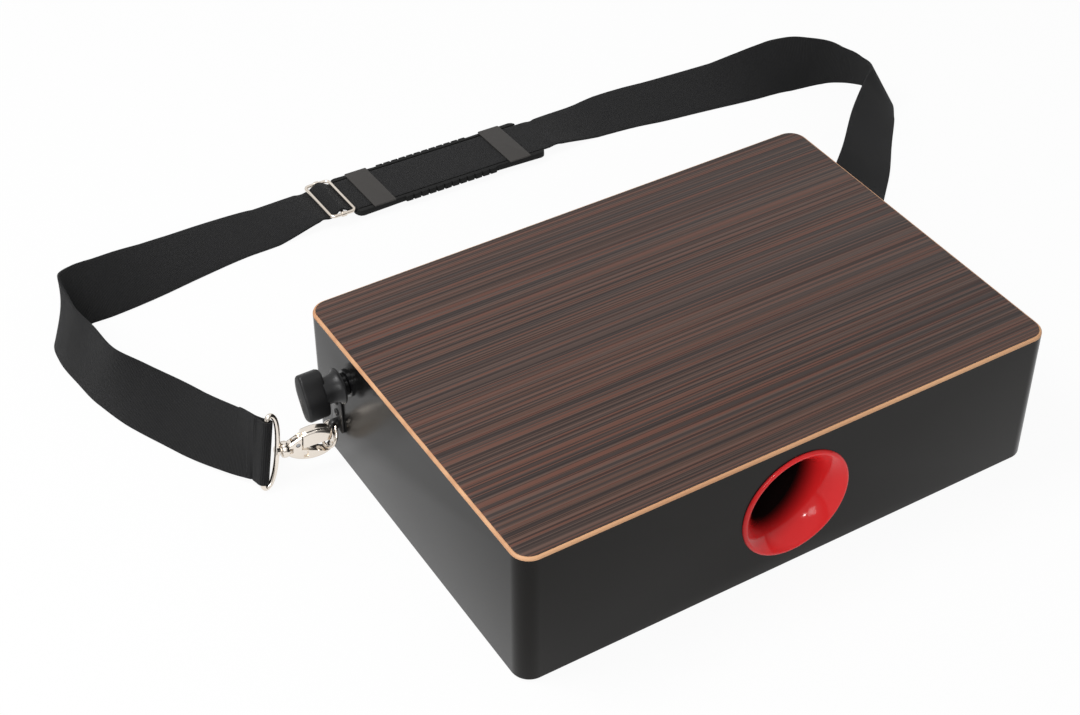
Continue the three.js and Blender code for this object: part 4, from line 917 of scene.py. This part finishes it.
def leaf(rise=1, spread=0):
    """The leaf outline as a plate with round edges. A rise lifts its upper edge, a spread thickens it."""
    raised = [(u, v * rise if v > 0.3 else v) for u, v in leaf_shares]
    outline = closed_outline(raised, hook_length, hook_half, 108)
    half = hook_thickness / 2 + spread
    return set_down(outline_solid(outline, -half, half, hook_round + spread, 6), stand_up)


def slab(shares, thickness):
    points = [(u * hook_length, v * hook_half) for u, v in shares]
    return set_down(outline_solid(points, -thickness / 2, thickness / 2), stand_up)


def block_between(low, high):
    low, high = Vector(low), Vector(high)
    made = fresh(bpy.ops.mesh.primitive_cube_add, size=1)
    return set_down(made, Matrix.Translation((low + high) / 2) @ Matrix.Diagonal((*(high - low), 1)))


def pin_rod(half, radius):
    return set_down(rod(-half, half, radius), Matrix.Translation((pivot_u, 0, pivot_v)) @ along_y())

# %% [markdown]
# A casting is the leaf joined with the turned head, then cut by the mouth, the slot for the gate's tongue,
# the pin's hole and the stud's pocket. The gate is cut from a thicker leaf, so that it stands proud of the
# casting, and its tongue turns on the pin.

# %% Hook bodies and gates
def make_hook(place):
    name, at = place["name"], hook_frame(place)
    slot_start = pivot_u - tongue_radius - running_gap
    slot_end = pivot_u + tongue_radius + 2 * running_gap
    throat_radius = stud_radius + swivel_play
    head_outside = [(head_radius * radius, head_length * z) for radius, z in head_shares]
    head = turned_solid([(throat_radius, 0), *head_outside, (throat_radius, head_length)], 64, ring=True)
    set_down(head, Matrix.Translation((head_back, 0, 0)) @ along_x())
    body = combine(leaf(), head, "UNION")
    combine(body, slab(mouth_shares, hook_thickness + overrun), "DIFFERENCE")
    combine(body, block_between((slot_start, -cheek_slot / 2, pivot_v - tongue_radius - running_gap),
                                (slot_end, cheek_slot / 2, hook_half + overrun)), "DIFFERENCE")
    combine(body, pin_rod(hook_thickness, pin_radius + running_gap), "DIFFERENCE")
    combine(body, set_down(rod(-head_length, head_length, throat_radius), along_x()), "DIFFERENCE")
    combine(body, set_down(rod(pocket_start, slot_start + overrun / 2, stud_head_radius + 2 * running_gap),
                           along_x()), "DIFFERENCE")
    (u_low, v_low), (u_high, v_high) = groove_low, groove_high
    groove = block_between((u_low * hook_length, -hook_thickness, v_low * hook_half),
                           (u_high * hook_length, -hook_thickness / 2 + side_groove, v_high * hook_half))
    combine(body, groove, "DIFFERENCE")
    soften(body, casting_round, 2, 50)
    hang(set_down(body, at), f"{name}_hook_casting", f"{name}_hook", [f"{name}_hook_body"],
         nickel)

    gate = leaf(gate_rise, gate_spread)
    combine(gate, slab(gate_shares, hook_thickness + 4 * gate_spread), "INTERSECT")
    tongue_far = cheek_slot / 2 - running_gap
    tongue = set_down(rod(tongue_far - tongue_width, tongue_far, tongue_radius, 48),
                      Matrix.Translation((pivot_u, 0, pivot_v)) @ along_y())
    combine(gate, tongue, "UNION")
    neck = block_between((pivot_u, tongue_far - tongue_width, pivot_v - tongue_radius * 0.7),
                         (gate_shares[0][0] * hook_length + overrun, tongue_far,
                          pivot_v + tongue_radius * 0.9))
    combine(gate, neck, "UNION")
    combine(gate, pin_rod(hook_thickness, pin_radius + running_gap), "DIFFERENCE")
    soften(gate, gate_round, 2, 50)
    hang(set_down(gate, at), f"{name}_spring_gate", f"{name}_gate", [f"{name}_gate"], nickel)


for place in sides:
    make_hook(place)

# %% [markdown]
# The webbing hangs on a loop of bent wire. Its straight side carries the sewn fold, its bowed side runs
# to a boss, and a stud with a riveted head turns in the hook.

# %% Webbing loops
bow_shares = [(-1, 0), (-1, 0.475), (-0.94, 0.512), (-0.74, 0.528), (-0.45, 0.48), (-0.22, 0.35),
              (-0.1, 0.17), (-0.08, 0)]
loop_steps = 144


def make_loop(place):
    name, at = place["name"], loop_frame(place)
    around = [(x * loop_depth, 0, z * loop_bar) for x, z in bow_shares]
    around += [(x * loop_depth, 0, -z * loop_bar) for x, z in reversed(bow_shares[1:-1])]
    line = smooth_line(around, closed=True)
    loop = wire([line(len(around) * k / loop_steps) for k in range(loop_steps)], loop_wire, 16)
    throat = pocket_start - head_back
    neck = set_down(rod(-loop_wire, stud_neck + throat / 2 + stud_head_length, stud_radius), along_x())
    boss_end = stud_neck - throat / 2 - swivel_play
    boss = set_down(rod(-loop_wire, boss_end, stud_head_radius * 0.85, 40), along_x())
    combine(combine(loop, neck, "UNION"), boss, "UNION")
    tip = set_down(rod(0, stud_head_length, stud_head_radius, 40),
                   at.inverted() @ hook_frame(place)
                   @ Matrix.Translation((pocket_start + 2 * running_gap, 0, 0)) @ along_x())
    combine(loop, tip, "UNION")
    hang(set_down(loop, at), f"{name}_webbing_loop", "root", [f"{name}_strap_loop"], nickel)


for place in sides:
    make_loop(place)

# %% [markdown]
# ## The shoulder pad
# The pad is moulded rubber with a shallow channel for the webbing. Its long edges are scalloped so that
# it grips a shoulder, and two smooth bridges hold the webbing in the channel.

# %% Pad sizes and frame
webbing_width, webbing_thickness, floor_gap, fold_length = 50 * MM, 1.6 * MM, 0.2 * MM, 24 * MM
pad_length, pad_width, pad_floor, rim_top = 186 * MM, 65 * MM, 3 * MM, 5.2 * MM
pad_corner, pad_edge_round, pad_draw_in, channel_width = 9 * MM, 0.72 * MM, 1.2 * MM, 53 * MM
tooth_count, tooth_pitch, tooth_centre, notch_depth = 12, 7.5 * MM, -2 * MM, 1.9 * MM
bridge_length, bridge_plate, bridge_level = 21 * MM, 1.3 * MM, 5.0 * MM
bridge_places = (-66.6 * MM, 66.6 * MM)
pad_yaw, pad_roll = -1.6 * degree, -4.5 * degree
pad_frame = Matrix.Translation((21.3 * MM, 394.4 * MM, floor_gap + pad_width / 2 * math.sin(-pad_roll)))
pad_frame = pad_frame @ Matrix.Rotation(pad_yaw, 4, "Z") @ Matrix.Rotation(pad_roll, 4, "X")
webbing_level = pad_floor + seat_gap + webbing_thickness / 2
print("the webbing lies", round(webbing_level / MM, 2), "mm above the pad's underside")

# %% [markdown]
# The notches go through the whole edge of the pad, so they are drawn in its outline, which is then pulled
# up. A block takes the channel away, and a bevel makes the edges soft, as on moulded rubber.

# %% Pad
half = pad_length / 2
first_tooth = tooth_centre - tooth_count * tooth_pitch / 2
pad_shoulder = pad_width / 2 - pad_draw_in
notch_shares = [(0, 1), (0.05, 0.8), (0.09, 0.15), (0.13, 0), (0.87, 0), (0.91, 0.15), (0.95, 0.8)]
edge = [(first_tooth + (tooth + share) * tooth_pitch, pad_shoulder - notch_depth * dip)
        for tooth in range(tooth_count) for share, dip in notch_shares]
edge.append((first_tooth + tooth_count * tooth_pitch, pad_shoulder - notch_depth))
corner_shares = [(0, 0.75), (0.1, 0.4), (0.3, 0.12), (0.6, 0)]
ends = [(-half + pad_corner * u, pad_shoulder - pad_corner * v) for u, v in corner_shares]
upper = [*ends, *edge, *((-x, y) for x, y in reversed(ends))]
pad_outline = [*upper, *((x, -y) for x, y in reversed(upper))]
pad = outline_solid(pad_outline, 0, rim_top, 0, 3)
combine(pad, block_between((-half - overrun, -channel_width / 2, pad_floor),
                           (half + overrun, channel_width / 2, rim_top + overrun)), "DIFFERENCE")
soften(pad, pad_edge_round, 3, 50)
hang(set_down(pad, pad_frame), "moulded_shoulder_pad", "pad", ["shoulder_pad"], pad_rubber)

# %% [markdown]
# The two bridges are smooth bands across the channel, nearly flush with the pad's rims. Each is a thin
# block with round corners, because the real ones are as plain.

# %% Bridges over the channel
bridge_width = channel_width + pad_corner
for number, middle in enumerate(bridge_places, 1):
    strap_bridge = rounded_block(bridge_length, bridge_width, 0, bridge_plate, bridge_plate, 6)
    soften(strap_bridge, bridge_plate * 0.3, 3, 50)
    set_down(strap_bridge, pad_frame @ Matrix.Translation((middle, 0, bridge_level)))
    hang(strap_bridge, f"pad_bridge_{number}", "pad", [], bridge_rubber)

# %% [markdown]
# ## The slider
# The length is set by a three-bar slider: a frame of bent wire and a middle bar whose ends are rolled
# round the frame, so they show as small knuckles.

# %% Slider
slider_width, slider_length, slider_wire, slider_corner = 60 * MM, 25 * MM, 1.5 * MM, 4 * MM
slider_u = -105 * MM
bar_level = webbing_level + webbing_thickness / 2 + seat_gap + slider_wire
inner_x, inner_y = slider_length / 2 - slider_wire, slider_width / 2 - slider_wire
path = rounded_rectangle(inner_x, inner_y, slider_corner)
slider = wire([(x, y, 0) for x, y in path], slider_wire, 16)
at_slider = pad_frame @ Matrix.Translation((slider_u, 0, bar_level))
hang(set_down(slider, at_slider), "slider_wire_frame", "root", ["slider_frame"], nickel)
knuckle_length, knuckle_radius = 4.4 * MM, 2.3 * MM
bar_reach = inner_y - knuckle_radius * 0.5
middle_bar = set_down(rod(-bar_reach, bar_reach, slider_wire, 32), along_y())
for end in (-1, 1):
    knuckle = rod(-knuckle_length / 2, knuckle_length / 2, knuckle_radius, 32)
    soften(knuckle, 0.4 * MM, 2, 50)
    knuckle = set_down(knuckle, Matrix.Translation((0, end * inner_y, 0)) @ along_x())
    combine(middle_bar, knuckle, "UNION")
hang(set_down(middle_bar, at_slider), "slider_middle_bar", "root", ["slider_bar"], nickel)

# %% [markdown]
# ## The webbing
# The strap is one flat band, 50 mm wide. It is sewn round the left loop, stands on its edge along the
# floor, goes through the slider and under the pad's bridges, and comes back to the right loop. Its route
# is a list of places, each with the middle of the band and the way that its width points.

# %% Where the band's edges run, in millimetres: lower edge, then upper edge
left_run = [
    ((-301, 137.2, 3.7), (-279.4, 148.8, 47.3)), ((-315.5, 164, 1.4), (-288, 177, 41)),
    ((-330, 196, 0), (-300, 210, 37)),
    ((-343, 227, 0), (-316, 237, 40)), ((-352, 260, 0), (-333, 264, 45)), ((-357, 294, 0), (-336, 298, 45)),
    ((-359, 322, 0), (-340, 327, 46)), ((-356, 341, 0), (-337, 352, 44)), ((-344, 353, 0), (-330, 370, 44)),
    ((-322, 355, 0), (-316, 382, 41)), ((-300, 355, 0), (-300, 391, 35)), ((-278, 357, 0), (-282, 396, 31)),
    ((-250, 361, 0), (-256, 404, 22)), ((-221, 365, 0), (-227, 412, 16)), ((-178, 371, 0), (-180, 419, 9)),
    ((-150, 371.5, 0.5), (-150, 420, 7)),
]
right_run = [
    ((164, 368, 2), (168, 418, 4)), ((190, 366, 0), (196, 415, 8)), ((214, 363, 0), (221, 411, 10)),
    ((237, 358, 0), (245, 406, 12)), ((273, 353, 0), (280, 400, 14)), ((304, 348, 0), (311, 394, 17)),
    ((330, 344, 0), (337, 386, 25)), ((352, 341, 0), (357, 379, 32)), ((370, 338, 0), (373, 361, 44)),
    ((384, 337, 0), (385, 343, 49)), ((399, 334, 0), (398, 328, 49)), ((411, 330, 0), (405, 315, 47)),
    ((423, 321, 0), (410, 305, 46)), ((433, 307, 0), (412, 296, 44)), ((437, 290, 0), (413, 287, 43)),
    ((433, 272, 0), (409, 277, 42)), ((420, 253, 0), (394, 268, 38)), ((390, 219, 0), (361, 244, 32)),
    ((360, 185, 0), (328, 213, 25)), ((333, 158, 2), (299, 190, 20)),
]
print(len(left_run), "and", len(right_run), "places on the two runs")

# %% [markdown]
# At its folds, the slider and the pad the band follows the fittings, so these places come from their
# sizes: round the loop's bar, over the slider's middle bar and straight under the bridges.

# %% Places of the band at its folds, slider and pad
def from_edges(pair):
    low, high = (Vector(edge) * MM for edge in pair)
    return (low + high) / 2, (high - low).normalized()


def in_pad(x, level):
    return pad_frame @ Vector((x, 0, level)), (pad_frame.to_3x3() @ Vector((0, 1, 0))).normalized()


def fold_places(place, leaving, leaving_across):
    """The band's way round the loop's bar, from the layer that the tail continues to the run's layer."""
    at = loop_frame(place)
    target = at.inverted() @ leaving
    bar = Vector((-loop_depth, 0, 0))
    out = Vector((target.x - bar.x, target.y, 0)).normalized()
    across = (at.to_3x3() @ Vector((0, 0, 1))).normalized()
    if across.dot(leaving_across) < 0:
        across.negate()
    down = Vector((-out.y, out.x, 0))
    if (at.to_3x3() @ down).z > 0:
        down.negate()
    turn = loop_wire + 2 * seat_gap + webbing_thickness / 2
    layer = (webbing_thickness + seat_gap) / 2
    near, far, parted = turn * 2.4, turn * 3.6, layer * 1.3
    first_turn, turned = 0.36 * math.pi, 1.28 * math.pi

    def spot(along, offset):
        return at @ (bar + out * along + down * offset), across

    made = [spot(near, parted)]
    for step in range(9):
        angle = first_turn + turned * step / 8
        made.append(spot(turn * math.cos(angle), turn * math.sin(angle)))
    return [*made, spot(near, -parted), spot(far, -layer)]


wave = slider_wire + seat_gap + webbing_thickness / 2
pitch = slider_length / 2 - slider_wire
slider_places = [in_pad(slider_u - pitch * 2, webbing_level)]
for step in range(9):
    share = 2 * step / 8 - 1
    lift = wave * (1 + math.cos(math.pi * share))
    slider_places.append(in_pad(slider_u + pitch * share, webbing_level + lift))
pad_places = [in_pad(half * share, webbing_level) for share in (-0.9, -0.5, 0, 0.5, 0.95, 1.06)]
beyond = in_pad(half + 2 * pad_corner, webbing_level)
left_places = [from_edges(pair) for pair in left_run]
right_places = [from_edges(pair) for pair in right_run]
left_fold = fold_places(sides[0], *left_places[0])
right_fold = fold_places(sides[1], *right_places[-1])[::-1]
route = [*left_fold, *left_places, *slider_places, *pad_places, beyond, *right_places, *right_fold]
print(len(route), "places on the route")
middles = smooth_line([middle for middle, _ in route])
widths = smooth_line([across for _, across in route])


def band_section(place):
    """Middle of the band, the way of its width, and the way out of its face."""
    last = len(route) - 1
    here = middles(place)
    ahead = (middles(min(place + 0.01, last)) - middles(max(place - 0.01, 0))).normalized()
    across = widths(place)
    across = (across - ahead * across.dot(ahead)).normalized()
    face = ahead.cross(across)
    lowest = min((here + across * w * webbing_width / 2 + face * f * webbing_thickness / 2).z
                 for w in (-1, 1) for f in (-1, 1))
    if lowest < floor_gap:
        here = here + Vector((0, 0, floor_gap - lowest))
    return here, across, face

# %% [markdown]
# The sewn tail lies under the band, so its places are the band's own, moved one layer down. They are
# added before the first fold and after the last one, and the smooth line is drawn again through all.

# %% Tails of the two folds
def tail_places(start, step):
    """Places of the tail, walked from the fold along the band until the tail's length is used up."""
    made, walked, place = [], 0, start
    last = middles(start)
    while walked < fold_length:
        here, across, face = band_section(place)
        down = face if face.z < 0 else -face
        made.append((here + down * (webbing_thickness + seat_gap), across))
        place += step
        walked += (middles(place) - last).length
        last = middles(place)
    return made


left_tail = tail_places(len(left_fold) - 1, 0.12)[::-1]
right_tail = tail_places(len(route) - len(right_fold), -0.12)
left_exit = len(left_tail) + len(left_fold) - 1
right_exit = len(left_tail) + len(route) - len(right_fold)
route = [*left_tail, *route, *right_tail]
middles = smooth_line([middle for middle, _ in route])
widths = smooth_line([across for _, across in route])
print("the tails have", len(left_tail), "and", len(right_tail), "places")

# %% [markdown]
# A long grid is laid along that route, one row of vertices for each step of equal length, so that the
# weave isn't stretched. Solidify then gives the band its thickness, and its UV map is in metres.

# %% Laying the band
band_step, band_columns, sample_count = 1.1 * MM, 12, 6000
samples = [middles((len(route) - 1) * k / sample_count) for k in range(sample_count + 1)]
travelled = [0.0]
for before, after in zip(samples, samples[1:]):
    travelled.append(travelled[-1] + (after - before).length)
strap_length = travelled[-1]
rows_count = int(strap_length / band_step)
print("webbing is", round(strap_length, 3), "m long")


def place_at_length(length):
    """The place number on the route that lies a length along the webbing."""
    low, high = 0, len(travelled) - 1
    while high - low > 1:
        middle = (low + high) // 2
        low, high = (middle, high) if travelled[middle] <= length else (low, middle)
    share = (length - travelled[low]) / max(travelled[high] - travelled[low], 1e-12)
    return (len(route) - 1) * (low + share) / sample_count


strap = fresh(bpy.ops.mesh.primitive_grid_add, x_subdivisions=rows_count, y_subdivisions=band_columns,
              size=1)
columns, rows_made = band_columns + 1, rows_count + 1
for row in range(rows_made):
    length = strap_length * row / rows_count
    here, across, face = band_section(place_at_length(length))
    for column in range(columns):
        share = column / band_columns - 0.5
        strap.data.vertices[column * rows_made + row].co = here + across * share * webbing_width
uv_map = strap.data.uv_layers[0]
for corner in strap.data.loops:
    column, row = divmod(corner.vertex_index, rows_made)
    uv_map.data[corner.index].uv = (strap_length * row / rows_count, webbing_width * column / band_columns)
thicken = strap.modifiers.new("thicken", "SOLIDIFY")
thicken.thickness = webbing_thickness
thicken.offset = 0
only(strap)
bpy.ops.object.modifier_apply(modifier=thicken.name)
soften(strap, 0.4 * MM, 2, 60)
for vertex in strap.data.vertices:
    vertex.co.z = max(vertex.co.z, floor_gap)
hang(strap, "webbing_strap", "root",
     ["strap_left", "strap_back_left", "strap_through_pad", "strap_back_right", "strap_right"], webbing,
     smooth=60)

# %% [markdown]
# Each fold is held by rows of stitches. One stitch is modelled as a short thread with round ends, and it
# is copied along the rows on both faces of the fold.

# %% Stitches
stitch_length, stitch_gap, thread_radius = 2.6 * MM, 1.2 * MM, 0.28 * MM
row_inset, row_reaches = 4 * MM, (4 * MM, 20 * MM)


def make_stitches(place, exit_place, away):
    """Rows of stitches across the band, at set distances from the fold, on its top and under its tail."""
    count = int((webbing_width - 2 * row_inset) / (stitch_length + stitch_gap))
    stitches = []
    for reach in row_reaches:
        at_place, walked, last = exit_place, 0, middles(exit_place)
        while walked < reach:
            at_place += 0.02 * away
            walked += (middles(at_place) - last).length
            last = middles(at_place)
        here, across, face = band_section(at_place)
        up = face if face.z > 0 else -face
        for height in (webbing_thickness / 2, -1.5 * webbing_thickness - seat_gap):
            for number in range(count):
                middle = (number - (count - 1) / 2) * (stitch_length + stitch_gap)
                one = fresh(bpy.ops.mesh.primitive_cylinder_add, vertices=8, radius=thread_radius,
                            depth=stitch_length)
                soften(one, thread_radius * 0.5, 1, 50)
                spot = here + across * middle + up * height
                stitches.append(set_down(one, basis(up, across.cross(up), across, spot)))
    bpy.ops.object.select_all(action="DESELECT")
    for one in stitches:
        one.select_set(True)
    bpy.context.view_layer.objects.active = stitches[0]
    bpy.ops.object.join()
    hang(stitches[0], f"{place['name']}_fold_stitches", "root", [], thread)


make_stitches(sides[0], left_exit, 1)
make_stitches(sides[1], right_exit, -1)

# %% [markdown]
# ## Studio
# The floor is white and the light is soft, as in a catalogue picture. The light comes from the left, so
# the front wall is darker than the left one. Floor and world show white to the camera and a little less
# white in mirrors.

# %% Floor
floor_size, in_mirrors, floor_glow = 12, 0.82, 0.94
floor = fresh(bpy.ops.mesh.primitive_plane_add, size=floor_size)
floor.name = "studio_floor"


def shown_white(tree):
    """A mask that is 1 for the camera's rays and a little less for the rays from a mirror or glass."""
    rays = node(tree, "LightPath")
    bounced = node(tree, "Math", {0: rays.outputs["Is Glossy Ray"], 1: rays.outputs["Is Transmission Ray"]},
                   operation="MAXIMUM")
    softer = node(tree, "Math", {0: bounced.outputs[0], 1: in_mirrors}, operation="MULTIPLY")
    return node(tree, "Math", {0: rays.outputs["Is Camera Ray"], 1: softer.outputs[0]},
                operation="MAXIMUM").outputs[0]


floor_paint, tree, shader, where = new_material("white_floor", 0.9, Specular_IOR_Level=0.0)
shader.inputs["Base Color"].default_value = (0.8, 0.8, 0.8, 1)
white = node(tree, "Emission", {"Color": (1, 1, 1, 1), "Strength": 1.0})
share = node(tree, "Math", {0: shown_white(tree), 1: floor_glow}, operation="MULTIPLY")
mixed = node(tree, "MixShader", {0: share.outputs[0], 1: shader.outputs["BSDF"],
                                 2: white.outputs["Emission"]})
tree.links.new(mixed.outputs[0], tree.nodes["Material Output"].inputs["Surface"])
floor.data.materials.append(floor_paint)

# %% [markdown]
# The world is dim, so that the lamps shape the light. Polished pieces see it darker near the horizon.

# %% World
room_light = 0.40
world = bpy.data.worlds.new("studio_world")
bpy.context.scene.world = world
world.use_nodes = True
tree = world.node_tree
background = tree.nodes["Background"]
where = node(tree, "TexCoord")
apart = node(tree, "SeparateXYZ", {"Vector": where.outputs["Generated"]})
sky = two_tone(tree, apart.outputs["Z"], (0.12, 0.11, 0.10, 1), (1, 1, 1, 1), 0.02, 0.30)
rays = node(tree, "LightPath")
colour = node(tree, "MixRGB", {"Fac": rays.outputs["Is Glossy Ray"], "Color1": (1, 1, 1, 1), "Color2": sky})
tree.links.new(colour.outputs[0], background.inputs["Color"])
strength = node(tree, "MapRange", {"Value": shown_white(tree), "To Min": room_light, "To Max": 1.0})
tree.links.new(strength.outputs["Result"], background.inputs["Strength"])
print("world", world.name, "at strength", room_light)

# %% [markdown]
# Three square lamps stand on the left: a large one high up, a weaker one at the front, and a small one
# whose reflection is the bright spot in the port.

# %% Lamps
def soft_lamp(name, position, target, size, power):
    lamp = bpy.data.lights.new(name, "AREA")
    lamp.shape = "SQUARE"
    lamp.size = size
    lamp.energy = power
    holder = bpy.data.objects.new(name, lamp)
    bpy.context.scene.collection.objects.link(holder)
    holder.location = position
    holder.rotation_euler = (Vector(target) - Vector(position)).to_track_quat("-Z", "Y").to_euler()
    print(name, power, "W")


soft_lamp("key_lamp", (-1.1, 0.5, 1.9), (0, 0.1, 0.05), 0.9, 30)
soft_lamp("fill_lamp", (-1.3, -1.6, 1.2), (0, 0, 0.05), 0.7, 10)
soft_lamp("glint_lamp", (-0.9, -1.3, 1.7), (0, 0, 0.05), 0.16, 7)

# %% [markdown]
# The camera stands where the photograph was taken: in front and to the left of the box, above it.

# %% Camera
camera_data = bpy.data.cameras.new("photo_camera")
camera_data.lens, camera_data.sensor_width = 68.2, 36
camera_data.clip_end = 50
camera = bpy.data.objects.new("photo_camera", camera_data)
bpy.context.scene.collection.objects.link(camera)
camera.location = (-675.3 * MM, -921.4 * MM, 1047.4 * MM)
look = Vector((0.3967, 0.651, -0.6471))
camera.rotation_euler = look.to_track_quat("-Z", "Y").to_euler()
bpy.context.scene.camera = camera
bpy.context.scene.view_settings.view_transform = "Standard"
print("camera with a lens of", round(camera_data.lens, 1), "mm")
